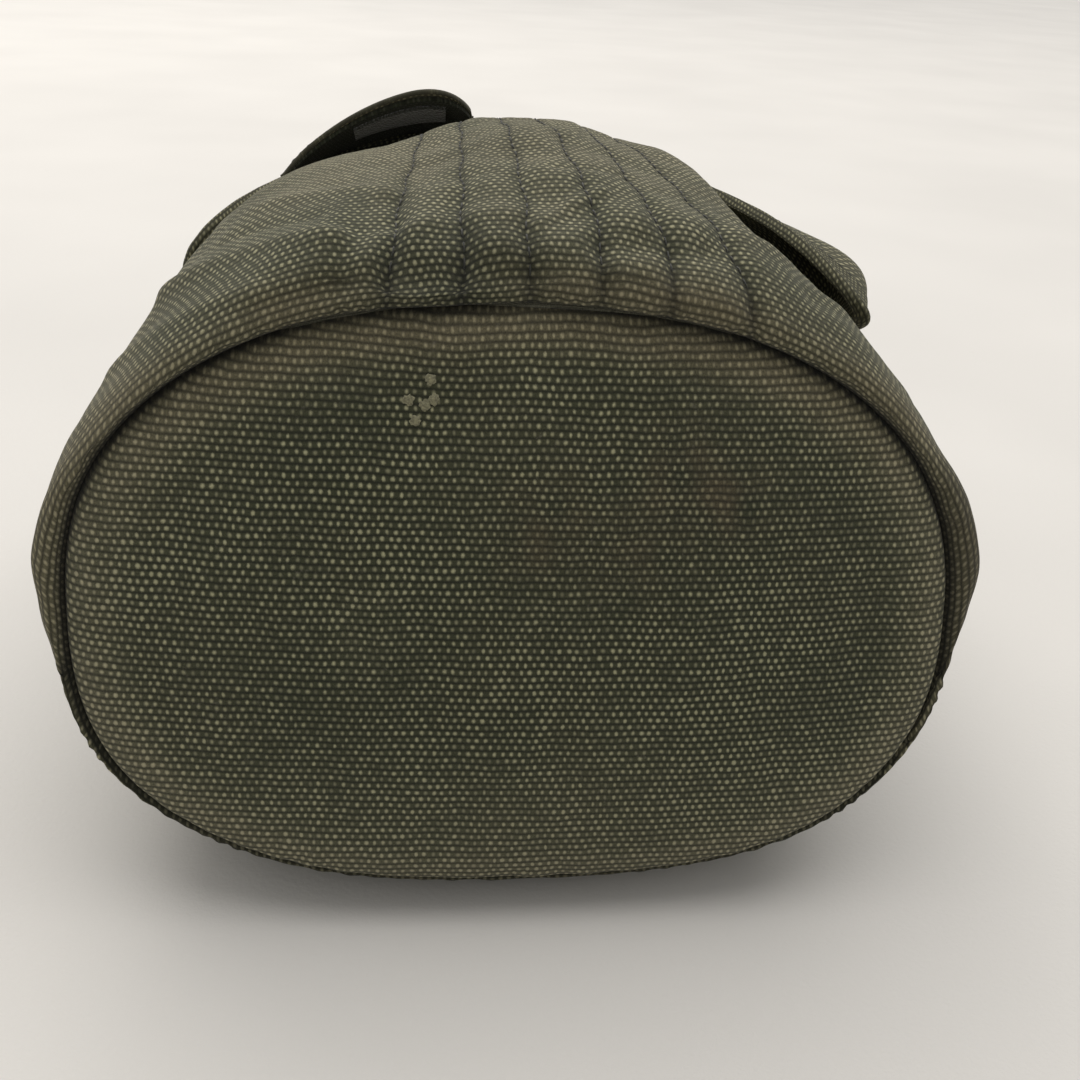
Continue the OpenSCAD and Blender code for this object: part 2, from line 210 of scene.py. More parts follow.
def rolled_wall(length, angle, off=0.0):
    """Point of the wall a length of cloth from the base seam, with the roll over the seam."""
    c, n = np.cos(np.radians(angle)), np.sin(np.radians(angle))
    plump = np.where(n > 0, 0.30 + 0.70 * np.abs(c) ** 1.3, 0.10 + 0.90 * np.abs(c) ** 1.8)
    seam = 1 - smooth_step(length, 0.8, 2.4)
    plump = plump * (1 - seam) + np.maximum(plump, 0.75) * seam
    out = smooth_curve(length, ROLL[:, 0], ROLL[:, 1]) * plump
    near = smooth_step(length, 1, 6) * (1 - smooth_step(length, 50, 110))
    tuck = smooth_step(-n, -0.12, 0.2) * np.where(c > 0, 4.8, 3.4) * np.abs(c) ** 0.5
    trim = 2.9 * bump_at(angle, 147, 21) + 2.3 * bump_at(angle, 33, 15)
    sunk = 5.4 * bump_at(angle, 109, 14) + 5.4 * bump_at(angle, 50, 15) + 1.6 * bump_at(angle, 76, 9)
    sunk = sunk * smooth_step(length, 20, 62) * (1 - smooth_step(length, 120, 145))
    p = wall(np.interp(length, CLOTH_AT, range(LAST + 1)), angle, off + out - (tuck + trim) * near - sunk)
    p[..., 1] -= smooth_curve(length, ROLL[:, 0], ROLL[:, 2]) * plump
    p[..., 1] -= seam_wander(angle) * (1 - smooth_step(length, 4, 16))
    return p


def top_z(x, y, off):
    """Height of the wall's top above a point of the plan."""
    s = np.where(y > 130, 6 + (y - 130) / 20, 5 + (y - 100) / 30)
    w = station(s)
    across = np.abs(x) / (w[..., 1] + off)
    return MID_Z + (w[..., 2] + off - MID_Z) * (1 - across**FRONT_POWER) ** (1 / FRONT_POWER)


def metres(p):
    """From the pattern's millimetres to the frame, whose origin is below the middle of the back."""
    return (np.asarray(p, float) - (0, SEAM_TO_MOUTH / 2, 0)) * 0.001


# ---------------------------------------------------------------- making and finishing pieces

def choose(*pieces):
    """Leaves only these objects selected, the first of them active."""
    bpy.ops.object.select_all(action="DESELECT")
    for piece in pieces:
        piece.select_set(True)
    bpy.context.view_layer.objects.active = pieces[0]


def edit_all(piece, *steps):
    """Runs edit-mode steps on the whole of a piece."""
    choose(piece)
    bpy.ops.object.mode_set(mode="EDIT")
    bpy.ops.mesh.select_all(action="SELECT")
    for step in steps:
        step()
    bpy.ops.object.mode_set(mode="OBJECT")


def joined(pieces):
    """Joins pieces into the first of them."""
    choose(*pieces)
    bpy.ops.object.join()
    return pieces[0]


def apply_modifiers(piece):
    choose(piece)
    for name in [m.name for m in piece.modifiers]:
        bpy.ops.object.modifier_apply(modifier=name)


def surface_normals(grid):
    n = np.cross(np.gradient(grid, axis=1), np.gradient(grid, axis=0))
    return n / (np.linalg.norm(n, axis=-1, keepdims=True) + 1e-9)


def cloth_lengths(grid):
    """Lengths of cloth across and along a grid of points, from its middle column and first row."""
    across = np.zeros(grid.shape[:2])
    across[:, 1:] = np.cumsum(np.linalg.norm(np.diff(grid, axis=1), axis=-1), axis=1)
    middle = across[:, grid.shape[1] // 2:grid.shape[1] // 2 + 1]
    along = np.zeros(grid.shape[:2])
    along[1:] = np.cumsum(np.linalg.norm(np.diff(grid, axis=0), axis=-1), axis=0)
    return np.stack([across - middle, along], -1)


def skin(name, across, along, place, relief=None, marks=None, cut=None, closed=False, thick=0.0):
    """A piece of cloth: a grid placed by place and raised by relief, with its cloth as the UV map.

    place(u, v) gives points, relief(points, u, v) heights, marks(points, u, v) named masks, and cut(points)
    the place on the flat cloth. The outer side faces out when u runs clockwise seen from the base.
    """
    bpy.ops.object.select_all(action="DESELECT")
    bpy.ops.mesh.primitive_grid_add(x_subdivisions=across, y_subdivisions=along, size=2)
    piece = bpy.context.object
    piece.name = name
    mesh = piece.data
    mesh.name = name
    co = np.empty(len(mesh.vertices) * 3)
    mesh.vertices.foreach_get("co", co)
    co = co.reshape(-1, 3)
    columns, rows = len(np.unique(co[:, 0].round(5))), len(np.unique(co[:, 1].round(5)))
    col = np.rint((co[:, 0] + 1) / 2 * (columns - 1)).astype(int)
    row = np.rint((co[:, 1] + 1) / 2 * (rows - 1)).astype(int)
    u, v = np.meshgrid(np.linspace(0, 1, columns), np.linspace(0, 1, rows))
    grid = place(u, v)
    poles = [end for end in (0, -1) if np.ptp(grid[end], axis=0).max() < POINT_SIZE]
    flat = cloth_lengths(grid) if cut is None else cut(grid)
    if relief is not None:
        grid = grid + surface_normals(grid) * relief(grid, u, v)[..., None]
    for pole in poles:
        grid[pole] = grid[pole].mean(axis=0)
    grid[..., 2] = np.maximum(grid[..., 2], LOWEST)
    mesh.vertices.foreach_set("co", metres(grid)[row, col].ravel())
    corners = np.empty(len(mesh.loops), dtype=int)
    mesh.loops.foreach_get("vertex_index", corners)
    layer = mesh.uv_layers.active or mesh.uv_layers.new(name="cloth")
    layer.name = "cloth"
    layer.data.foreach_set("uv", (flat * 0.001)[row, col][corners].ravel())
    for key, values in (marks(grid, u, v) if marks else {}).items():
        mask = mesh.attributes.new(key, "FLOAT", "POINT")
        mask.data.foreach_set("value", np.clip(values, 0, 1)[row, col])
    if closed:
        edit_all(piece, lambda: bpy.ops.mesh.remove_doubles(threshold=0.00001))
    if thick:
        solid = piece.modifiers.new("Cloth thickness", "SOLIDIFY")
        solid.thickness = thick * 0.001
        solid.offset = -1
        apply_modifiers(piece)
    choose(piece)
    bpy.ops.object.shade_smooth()
    return piece


def slack_cloth(name, across, along, place, held, push, slack, cap):
    """How slack cloth over padding comes to rest, by simulation, as a function of points u and v."""
    scene = bpy.context.scene
    piece = skin(name, across, along, place)
    mesh = piece.data
    uv_co = np.empty(len(mesh.vertices) * 3)
    mesh.vertices.foreach_get("co", uv_co)
    start = uv_co.reshape(-1, 3).copy()
    u, v = np.meshgrid(np.linspace(0, 1, across + 1), np.linspace(0, 1, along + 1))
    target = metres(place(u, v)).reshape(-1, 3)
    order = np.array([np.argmin(((start - t) ** 2).sum(1)) for t in target])
    weight = held(u, v).ravel()
    sewn = piece.vertex_groups.new(name="sewn")
    for index, value in zip(order, weight):
        if value > 0.01:
            sewn.add([int(index)], float(value), "REPLACE")
    cloth = piece.modifiers.new("Cloth", "CLOTH")
    rule = cloth.settings
    rule.quality = 6
    rule.mass = 0.25
    rule.tension_stiffness = 25
    rule.compression_stiffness = 25
    rule.shear_stiffness = 12
    rule.bending_stiffness = 1.5
    rule.shrink_min = -slack
    rule.use_pressure = True
    rule.uniform_pressure_force = push
    rule.vertex_group_mass = "sewn"
    rule.effector_weights.gravity = 0
    cloth.collision_settings.use_collision = False
    for number in range(1, SETTLE_FRAMES + 1):
        scene.frame_set(number)
    done = piece.evaluated_get(bpy.context.evaluated_depsgraph_get()).to_mesh()
    done.vertices.foreach_get("co", uv_co)
    moved = (uv_co.reshape(-1, 3) - start)[order] * 1000
    size = np.linalg.norm(moved, axis=1, keepdims=True)
    moved *= np.minimum(1, cap / (size + 1e-9))
    moved = moved.reshape(along + 1, across + 1, 3)
    for _ in range(2):
        moved[1:-1, 1:-1] = (moved[1:-1, 1:-1] * 2 + moved[:-2, 1:-1] + moved[2:, 1:-1]
                             + moved[1:-1, :-2] + moved[1:-1, 2:]) / 6
    bpy.data.objects.remove(piece)
    scene.frame_set(1)

    def rest(u, v):
        x, y = u * across, v * along
        i, j = np.minimum(x.astype(int), across - 1), np.minimum(y.astype(int), along - 1)
        fx, fy = (x - i)[..., None], (y - j)[..., None]
        fx, fy = fx * fx * (3 - 2 * fx), fy * fy * (3 - 2 * fy)
        low = moved[j, i] * (1 - fx) + moved[j, i + 1] * fx
        high = moved[j + 1, i] * (1 - fx) + moved[j + 1, i + 1] * fx
        return low * (1 - fy) + high * fy

    return rest


def finish(piece, material, body, slot, *nodes):
    """Gives a piece its material and its body, and hides the frame's nodes it stands for."""
    piece.data.materials.clear()
    piece.data.materials.append(material)
    if nodes:
        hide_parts(*nodes)
    if body:
        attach(piece, body)


def refinish(node, kind):
    """Gives one of the frame's hard pieces its finish."""
    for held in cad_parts[node].material_slots:
        held.material = finish_named(kind)


def stitches(name, rows, body, slot, length, gap, radius):
    """Rows of stitches as one piece. Each row is points on a surface and the surface's normals there."""
    verts, faces = [], []
    sides = 6
    for points, normals in rows:
        points, normals = np.asarray(points, float), np.asarray(normals, float)
        run = run_along(points)
        count = max(1, int(run[-1] // (length + gap)))
        pitch = run[-1] / count
        for k in range(count):
            spots = k * pitch + np.array([0.0, 0.12, 0.5, 0.88, 1.0]) * length
            lift = np.array([-0.5, 0.35, 0.75, 0.35, -0.5]) * radius * 1.6
            wide = np.array([0.25, 0.9, 1.0, 0.9, 0.25]) * radius
            centre = np.stack([np.interp(spots, run, points[:, i]) for i in range(3)], -1)
            up = np.stack([np.interp(spots, run, normals[:, i]) for i in range(3)], -1)
            up /= np.linalg.norm(up, axis=1, keepdims=True)
            way = np.gradient(centre, axis=0)
            way /= np.linalg.norm(way, axis=1, keepdims=True)
            side = np.cross(way, up)
            first = len(verts)
            for c, n, s, w, h in zip(centre, up, side, wide, lift):
                for m in range(sides):
                    t = 2 * math.pi * m / sides
                    verts.append(c + n * h + (s * math.cos(t) + n * math.sin(t)) * w)
            for r in range(len(spots) - 1):
                for m in range(sides):
                    a, b = first + r * sides + m, first + r * sides + (m + 1) % sides
                    faces.append((a, b, b + sides, a + sides))
            faces.append([first + m for m in reversed(range(sides))])
            faces.append([first + 4 * sides + m for m in range(sides)])
    mesh = bpy.data.meshes.new(name)
    mesh.from_pydata(metres(verts).tolist(), [], faces)
    piece = bpy.data.objects.new(name, mesh)
    bpy.context.scene.collection.objects.link(piece)
    edit_all(piece, lambda: bpy.ops.mesh.normals_make_consistent(inside=False))
    choose(piece)
    bpy.ops.object.shade_smooth()
    finish(piece, finish_named("thread"), body, slot)


def row_on(place, us, vs, out):
    """A row of points with normals on a surface given by place."""
    us, vs = np.asarray(us, float), np.asarray(vs, float)
    e = 0.002
    p = place(us, vs)
    du = place(np.minimum(us + e, 1), vs) - place(np.maximum(us - e, 0), vs)
    dv = place(us, np.minimum(vs + e, 1)) - place(us, np.maximum(vs - e, 0))
    n = np.cross(du, dv)
    n /= np.linalg.norm(n, axis=1, keepdims=True) + 1e-9
    return p + n * out, n


# ---------------------------------------------------------------- finishes

def feed(tree, socket, value):
    """Links an output to a socket, or sets the socket to a value."""
    if isinstance(value, bpy.types.NodeSocket):
        tree.links.new(value, socket)
    else:
        socket.default_value = value


def maths(tree, operation, *values, clamp=False):
    """A Math node; each value is a number or an output."""
    n = tree.nodes.new("ShaderNodeMath")
    n.operation = operation
    n.use_clamp = clamp
    for socket, value in zip(n.inputs, values):
        feed(tree, socket, value)
    return n.outputs[0]


def mixed(tree, factor, a, b, blend="MIX"):
    """A colour Mix node; factor is a number or an output, a and b are colours or outputs."""
    n = tree.nodes.new("ShaderNodeMix")
    n.data_type = "RGBA"
    n.blend_type = blend
    feed(tree, n.inputs[0], factor)
    for socket, value in ((n.inputs[6], a), (n.inputs[7], b)):
        feed(tree, socket, value if isinstance(value, bpy.types.NodeSocket) else tuple(value)[:3] + (1,))
    return n.outputs[2]


def noise(tree, vector, scale, detail=2.0, roughness=0.5):
    n = tree.nodes.new("ShaderNodeTexNoise")
    n.inputs["Scale"].default_value = scale
    n.inputs["Detail"].default_value = detail
    n.inputs["Roughness"].default_value = roughness
    tree.links.new(vector, n.inputs["Vector"])
    return n


def spread(tree, value, low, high, to_low=0.0, to_high=1.0, kind="SMOOTHSTEP"):
    """A value that runs from low to high, spread out to run from to_low to to_high."""
    n = tree.nodes.new("ShaderNodeMapRange")
    n.interpolation_type = kind
    for socket, number in zip(n.inputs, (value, low, high, to_low, to_high)):
        feed(tree, socket, number)
    return n.outputs[0]


def vector_of(tree, x, y, z=0.0):
    n = tree.nodes.new("ShaderNodeCombineXYZ")
    for socket, value in zip(n.inputs, (x, y, z)):
        feed(tree, socket, value)
    return n.outputs[0]


def shaded(tree, colour, shade):
    """A colour made darker or lighter by a number."""
    return mixed(tree, 1.0, colour, vector_of(tree, shade, shade, shade), "MULTIPLY")


def parts_of(tree, vector):
    n = tree.nodes.new("ShaderNodeSeparateXYZ")
    tree.links.new(vector, n.inputs[0])
    return n.outputs


def new_group(name, inputs, outputs):
    """A shader node group with named sockets, and its input and output nodes."""
    group = bpy.data.node_groups.new(name, "ShaderNodeTree")
    for label, kind, value in inputs:
        socket = group.interface.new_socket(label, in_out="INPUT", socket_type="NodeSocket" + kind)
        if value is not None:
            socket.default_value = value
    for label, kind in outputs:
        group.interface.new_socket(label, in_out="OUTPUT", socket_type="NodeSocket" + kind)
    return group, group.nodes.new("NodeGroupInput").outputs, group.nodes.new("NodeGroupOutput").inputs


def plain_weave():
    """Heavy plain-woven duck: pale worn knuckles of warp on a dark ground."""
    group, given, out = new_group("Plain weave", (
        ("Cloth", "Vector", None),
        ("Warp pitch", "Float", WARP_PITCH),
        ("Weft pitch", "Float", WEFT_PITCH),
        ("Ground", "Color", (0.02, 0.02, 0.012, 1)),
        ("Knuckle", "Color", (0.16, 0.15, 0.10, 1)),
        ("Wear and light", "Float", 0.3),
        ("Grime", "Float", 0.0),
    ), (("Color", "Color"), ("Roughness", "Float"), ("Height", "Float")))
    t = group
    scaled = t.nodes.new("ShaderNodeVectorMath")
    scaled.operation = "SCALE"
    scaled.inputs["Scale"].default_value = 1000
    t.links.new(given["Cloth"], scaled.inputs[0])
    cloth = scaled.outputs[0]
    drift = parts_of(t, noise(t, cloth, 0.11, 3, 0.6).outputs["Color"])
    flat = parts_of(t, cloth)
    x = maths(t, "ADD", flat[0], maths(t, "MULTIPLY", maths(t, "SUBTRACT", drift[0], 0.5), 1.2))
    y = maths(t, "ADD", flat[1], maths(t, "MULTIPLY", maths(t, "SUBTRACT", drift[1], 0.5), 1.2))
    across_rows = maths(t, "DIVIDE", y, given["Weft pitch"])
    row = maths(t, "FLOOR", across_rows)
    odd = maths(t, "FLOORED_MODULO", row, 2.0)
    along_row = maths(t, "ADD", maths(t, "DIVIDE", x, given["Warp pitch"]), maths(t, "MULTIPLY", odd, 0.5))
    column = maths(t, "FLOOR", along_row)
    chance = t.nodes.new("ShaderNodeTexWhiteNoise")
    chance.noise_dimensions = "2D"
    t.links.new(vector_of(t, column, row), chance.inputs["Vector"])
    luck = parts_of(t, chance.outputs["Color"])
    nudge = maths(t, "MULTIPLY", maths(t, "SUBTRACT", luck[1], 0.5), 0.16)
    in_x = maths(t, "ADD", maths(t, "SUBTRACT", maths(t, "SUBTRACT", along_row, column), 0.5), nudge)
    in_y = maths(t, "SUBTRACT", maths(t, "SUBTRACT", across_rows, row), 0.5)
    wide = maths(t, "DIVIDE", in_x, maths(t, "ADD", 0.19, maths(t, "MULTIPLY", luck[2], 0.09)))
    tall = maths(t, "DIVIDE", in_y, 0.33)
    squares = maths(t, "ADD", maths(t, "MULTIPLY", wide, wide), maths(t, "MULTIPLY", tall, tall))
    away = maths(t, "SQRT", squares)
    fibre = noise(t, cloth, 3.6, 4, 0.75).outputs[0]
    ragged = maths(t, "ADD", away, maths(t, "MULTIPLY", maths(t, "SUBTRACT", fibre, 0.5), 2.0))
    knuckle = spread(t, ragged, 1.4, 0.35)
    weft = spread(t, maths(t, "ABSOLUTE", in_y), 0.5, 0.15, 0.6, 1.5)
    fine = maths(t, "MULTIPLY", spread(t, fibre, 0.32, 0.68, 0.35, 1.65, "LINEAR"), weft)
    paleness = noise(t, cloth, 0.035, 4, 0.6).outputs[0]
    patchy = spread(t, paleness, 0.36, 0.68, 0.55, 1.25)
    bright = maths(t, "ADD", 0.45, maths(t, "MULTIPLY", luck[0], 0.9))
    bright = maths(t, "MULTIPLY", bright, spread(t, fibre, 0.3, 0.7, 0.6, 1.35, "LINEAR"))
    tip = maths(t, "MULTIPLY", knuckle, bright)
    # Knuckles paler with the wear input, which also carries painted highlights.
    tip = maths(t, "MULTIPLY", tip, maths(t, "ADD", patchy, maths(t, "MULTIPLY", given["Wear and light"], 0.7)))
    ground = shaded(t, given["Ground"], fine)
    lifted = maths(t, "MULTIPLY", given["Wear and light"], maths(t, "MULTIPLY", fine, 0.13), clamp=True)
    ground = mixed(t, lifted, ground, given["Knuckle"])
    colour = mixed(t, maths(t, "MULTIPLY", tip, 0.85, clamp=True), ground, given["Knuckle"])
    # Darkened by the grime input, which also carries painted shade.
    dirt_and_shade = maths(t, "SUBTRACT", 1.0, maths(t, "MULTIPLY", given["Grime"], 0.72))
    colour = shaded(t, colour, dirt_and_shade)
    t.links.new(colour, out["Color"])
    t.links.new(maths(t, "SUBTRACT", 0.93, maths(t, "MULTIPLY", knuckle, 0.09)), out["Roughness"])
    height = maths(t, "ADD", knuckle, maths(t, "MULTIPLY", fibre, 0.45))
    t.links.new(height, out["Height"])
    return group


def dusting():
    """Pale dust and lint that settles on anything handled for years."""
    group, given, out = new_group("Dusting", (
        ("Place", "Vector", None),
        ("Color", "Color", (0.1, 0.1, 0.1, 1)),
        ("Dust", "Color", (0.3, 0.28, 0.22, 1)),
        ("Amount", "Float", 0.3),
    ), (("Color", "Color"), ("Mask", "Float")))
    t = group
    specks = spread(t, noise(t, given["Place"], 900, 4, 0.7).outputs[0], 0.56, 0.78)
    cloud = spread(t, noise(t, given["Place"], 60, 3).outputs[0], 0.4, 0.7)
    mask = maths(t, "MULTIPLY", maths(t, "MULTIPLY", specks, cloud), given["Amount"], clamp=True)
    t.links.new(mixed(t, mask, given["Color"], given["Dust"]), out["Color"])
    t.links.new(mask, out["Mask"])
    return group


def shader(name, roughness=0.9, sheen=0.0, metallic=0.0, specular=0.3):
    """A material with a bare Principled shader, its tree and the shader's inputs."""
    material = bpy.data.materials.new(name)
    material.use_nodes = True
    tree = material.node_tree
    skin_node = tree.nodes["Principled BSDF"]
    skin_node.inputs["Roughness"].default_value = roughness
    skin_node.inputs["Metallic"].default_value = metallic
    skin_node.inputs["Sheen Weight"].default_value = sheen
    skin_node.inputs["Sheen Roughness"].default_value = 0.6
    skin_node.inputs["Specular IOR Level"].default_value = specular
    return material, tree, skin_node.inputs


def relief_into(tree, inputs, height, distance, strength=1.0):
    bump = tree.nodes.new("ShaderNodeBump")
    bump.inputs["Distance"].default_value = distance
    bump.inputs["Strength"].default_value = strength
    tree.links.new(height, bump.inputs["Height"])
    tree.links.new(bump.outputs[0], inputs["Normal"])


def mask_of(tree, name):
    n = tree.nodes.new("ShaderNodeAttribute")
    n.attribute_name = name
    return n.outputs["Fac"]


def cloth_of(tree):
    n = tree.nodes.new("ShaderNodeUVMap")
    n.uv_map = "cloth"
    return n.outputs[0]


def place_of(tree):
    return tree.nodes.new("ShaderNodeTexCoord").outputs["Object"]


def cloth_finish(name, ground, knuckle, warp, weft, wear, worn=None, brown=None, relief=0.00025):
    """A woven finish. Where the piece has its masks of wear and painted highlight, of grime and painted shade,
    and of tan, they make it paler, darker and browner.
    """
    material, tree, inputs = shader(name, sheen=0.05)
    weave = tree.nodes.new("ShaderNodeGroup")
    weave.node_tree = bpy.data.node_groups["Plain weave"]
    given = weave.inputs
    tree.links.new(cloth_of(tree), given["Cloth"])
    given["Warp pitch"].default_value = warp
    given["Weft pitch"].default_value = weft
    ground, knuckle = tuple(ground)[:3] + (1,), tuple(knuckle)[:3] + (1,)
    if worn is None:
        given["Ground"].default_value = ground
        given["Knuckle"].default_value = knuckle
        given["Wear and light"].default_value = wear
    else:
        # The pale mask holds wear and painted highlights; the dark mask holds grime and painted shade.
        paleness, grime, tan = (mask_of(tree, m) for m in ("worn", "grime", "brown"))
        place = place_of(tree)
        blotch = spread(tree, noise(tree, place, 38, 4, 0.6).outputs[0], 0.42, 0.66)
        tanned = maths(tree, "ADD", tan, maths(tree, "MULTIPLY", blotch, 0.10))
        tanned = maths(tree, "MULTIPLY", tanned, 0.8, clamp=True)
        deep_brown = tuple(c * 0.26 for c in tuple(brown)[:3])
        tree.links.new(mixed(tree, tanned, ground, deep_brown), given["Ground"])
        tree.links.new(mixed(tree, tanned, mixed(tree, paleness, knuckle, worn), brown), given["Knuckle"])
        tree.links.new(maths(tree, "ADD", wear, paleness), given["Wear and light"])
        tree.links.new(grime, given["Grime"])
    dusty = tree.nodes.new("ShaderNodeGroup")
    dusty.node_tree = bpy.data.node_groups["Dusting"]
    dusty.inputs["Amount"].default_value = 0.25
    tree.links.new(place_of(tree), dusty.inputs["Place"])
    tree.links.new(weave.outputs["Color"], dusty.inputs["Color"])
    tree.links.new(dusty.outputs["Color"], inputs["Base Color"])
    tree.links.new(weave.outputs["Roughness"], inputs["Roughness"])
    relief_into(tree, inputs, weave.outputs["Height"], relief)
    return material


def thread_finish(name, colour):
    material, tree, inputs = shader(name, roughness=0.75, sheen=0.2)
    place = place_of(tree)
    twist = noise(tree, place, 2600, 2).outputs[0]
    shade = spread(tree, twist, 0.3, 0.7, 0.55, 1.3, "LINEAR")
    tree.links.new(shaded(tree, colour, shade), inputs["Base Color"])
    relief_into(tree, inputs, twist, 0.0001)
    return material


def pile_finish(name, colour):
    """Hook-and-loop tape: short dark pile."""
    material, tree, inputs = shader(name, roughness=0.95, sheen=0.4)
    place = place_of(tree)
    pile = tree.nodes.new("ShaderNodeTexVoronoi")
    pile.inputs["Scale"].default_value = 1500
    tree.links.new(place, pile.inputs["Vector"])
    fuzz = noise(tree, place, 3000, 3, 0.7).outputs[0]
    tufts = spread(tree, pile.outputs["Distance"], 0.0, 0.6, 0.5, 1.4)
    shade = maths(tree, "MULTIPLY", tufts, maths(tree, "ADD", fuzz, 0.5))
    tree.links.new(shaded(tree, colour, shade), inputs["Base Color"])
    relief_into(tree, inputs, pile.outputs["Distance"], 0.0004)
    return material


def brass_finish(name, colour):
    """Old brass: dull, a little pitted, darker where fingers don't polish it."""
    material, tree, inputs = shader(name, roughness=0.4, metallic=1.0, specular=0.5)
    place = place_of(tree)
    cloud = spread(tree, noise(tree, place, 150, 4, 0.6).outputs[0], 0.35, 0.7)
    pits = noise(tree, place, 2200, 3, 0.7).outputs[0]
    tarnish = tuple(c * 0.38 for c in tuple(colour)[:3])
    tree.links.new(mixed(tree, cloud, colour, tarnish), inputs["Base Color"])
    tree.links.new(spread(tree, cloud, 0.0, 1.0, 0.3, 0.62, "LINEAR"), inputs["Roughness"])
    relief_into(tree, inputs, pits, 0.00006)
    return material


def board_finish(name, colour):
    """Pressed fibre board inside the base."""
    material, tree, inputs = shader(name, roughness=0.85)
    fibres = noise(tree, place_of(tree), 700, 5, 0.7).outputs[0]
    shade = spread(tree, fibres, 0.3, 0.7, 0.7, 1.25, "LINEAR")
    tree.links.new(shaded(tree, colour, shade), inputs["Base Color"])
    relief_into(tree, inputs, fibres, 0.0002)
    return material


def finish_named(kind):
    """The bag's finishes, each made once from the colours in the panel."""
    name = kind + "_finish"
    made = bpy.data.materials.get(name)
    if made:
        return made
    c = bpy.context.scene.bag_colours
    if "Plain weave" not in bpy.data.node_groups:
        plain_weave()
        dusting()
    dark = tuple(v * 0.8 for v in c.ground)
    makers = {
        "canvas": lambda: cloth_finish(
            name, c.ground, c.knuckle, WARP_PITCH, WEFT_PITCH, 0.15, c.worn, c.brown),
        "shaded_canvas": lambda: cloth_finish(name, c.ground, c.tape, 1.3, 1.1, 0.3),
        "lining": lambda: cloth_finish(name, c.lining, tuple(v * 1.5 for v in c.lining), 0.45, 0.4, 0.3),
        "tape": lambda: cloth_finish(name, dark, c.tape, 0.9, 0.7, 0.25),
        "webbing": lambda: cloth_finish(name, dark, c.tape, 1.6, 0.8, 0.3, relief=0.0004),
        "thread": lambda: thread_finish(name, c.thread),
        "pale_thread": lambda: thread_finish(name, c.pale_thread),
        "pile": lambda: pile_finish(name, c.pile),
        "brass": lambda: brass_finish(name, c.brass),
        "board": lambda: board_finish(name, c.board),
    }
    return makers[kind]()


# ---------------------------------------------------------------- shapes of the bag's own pieces

LEFT_SEAM, RIGHT_SEAM = 180 - SIDE_SEAM, SIDE_SEAM
WALL_CLOTH = float(CLOTH_AT[7])
# from the middle of the base to its rim, on average, and round the rim once
BASE_REACH = 68
BASE_ROUND = 330
# where the lines of quilting leave the base seam, and how far behind that they are given a second place
QUILT_START = 19
QUILT_RUN = 46
# half width of the dip along a side seam, as a share of the way round a wall
FRONT_SEAM = 0.006
BACK_SEAM = 0.008


def wall_cloth(v):
    """Length of cloth from the base seam, in smaller steps near the seam."""
    return WALL_CLOTH * v**1.25


def to_middle(v):
    """How far out a point of the base is, from 1 at its rim to 0 in the middle."""
    return 1 - v**1.35


def both_sides(u, width):
    return bump_at(u, 0, width) + bump_at(u, 1, width)


def closer(t, low, high, times):
    """Evenly spread t in 0..1, drawn closer together between low and high."""
    s = np.linspace(0, 1, 513)
    dense = 1 + (times - 1) * smooth_step(s, low - 0.06, low) * (1 - smooth_step(s, high, high + 0.06))
    run = np.concatenate([[0], np.cumsum((dense[1:] + dense[:-1]) / 2)])
    return np.interp(t, run / run[-1], s)


def front_shape(u, v):
    angle = LEFT_SEAM + (RIGHT_SEAM - LEFT_SEAM) * closer(u, 0.38, 0.65, 3)
    return rolled_wall(wall_cloth(v), angle)


def back_shape(u, v):
    angle = 360 + RIGHT_SEAM - (360 + RIGHT_SEAM - LEFT_SEAM) * u
    p = rolled_wall(wall_cloth(v), angle)
    p[..., 2] = np.maximum(p[..., 2], 0.3)
    return p


def base_shape(u, v):
    k = to_middle(v)
    p = wall(np.zeros_like(k), -90 + 360 * u, -0.45)
    inward = (1 - k) * np.hypot(p[..., 0], p[..., 2] - MID_Z)
    z = MID_Z + k * (p[..., 2] - MID_Z)
    y = BASE_LEAN * (z - MID_Z) - BASE_DOME * (1 - k**3)
    y = y + smooth_curve(inward, BASE_EDGE[:, 0], BASE_EDGE[:, 1])
    y = y - seam_wander(-90 + 360 * u) * (1 - smooth_step(inward, 3, 16))
    return np.stack([k * p[..., 0], y, z], -1)


def flat_base(grid):
    """The base panel's cloth: its rows run level across the bag."""
    return np.stack([grid[..., 0], (grid[..., 2] - MID_Z) * math.hypot(1, BASE_LEAN)], -1)


# each line of quilting: where it leaves the base seam and where it is over the crest
QUILT = ((-23.7, -21.0), (-11.4, -11.0), (0.4, -1.0), (13.2, 9.4), (25.2, 20.0), (38.7, 30.0))


def quilt_x(i, y):
    near, far = QUILT[i]
    return near + (far - near) * (y - QUILT_START) / QUILT_RUN + 0.35 * np.sin(y * 0.31 + i * 1.7)


def quilt_hollow(p):
    """How close a point is to the lines of quilting (1 on a line) and how far it lies between two lines."""
    x, y = p[..., 0], p[..., 1]
    lines = [quilt_x(i, y) for i in range(len(QUILT))]
    on_line = sum(bump_at(x, line, 0.6) for line in lines)
    wide_line = sum(bump_at(x, line, 2.2) for line in lines)
    top = smooth_step(p[..., 2], 85, 100)
    inside = smooth_step(x, lines[0] - 9, lines[0] - 3) * (1 - smooth_step(x, lines[-1] + 3, lines[-1] + 9))
    return on_line * top, wide_line * top, inside * top


def fold(p, a, b, width, height):
    """A soft ridge (or hollow, if height is negative) from a to b, fading at its ends."""
    a, b = np.array(a, float), np.array(b, float)
    t = ((p - a) @ (b - a)) / ((b - a) @ (b - a))
    away = np.linalg.norm(p - (a + np.clip(t, 0, 1)[..., None] * (b - a)), axis=-1)
    return height * bump_at(away, 0, width)


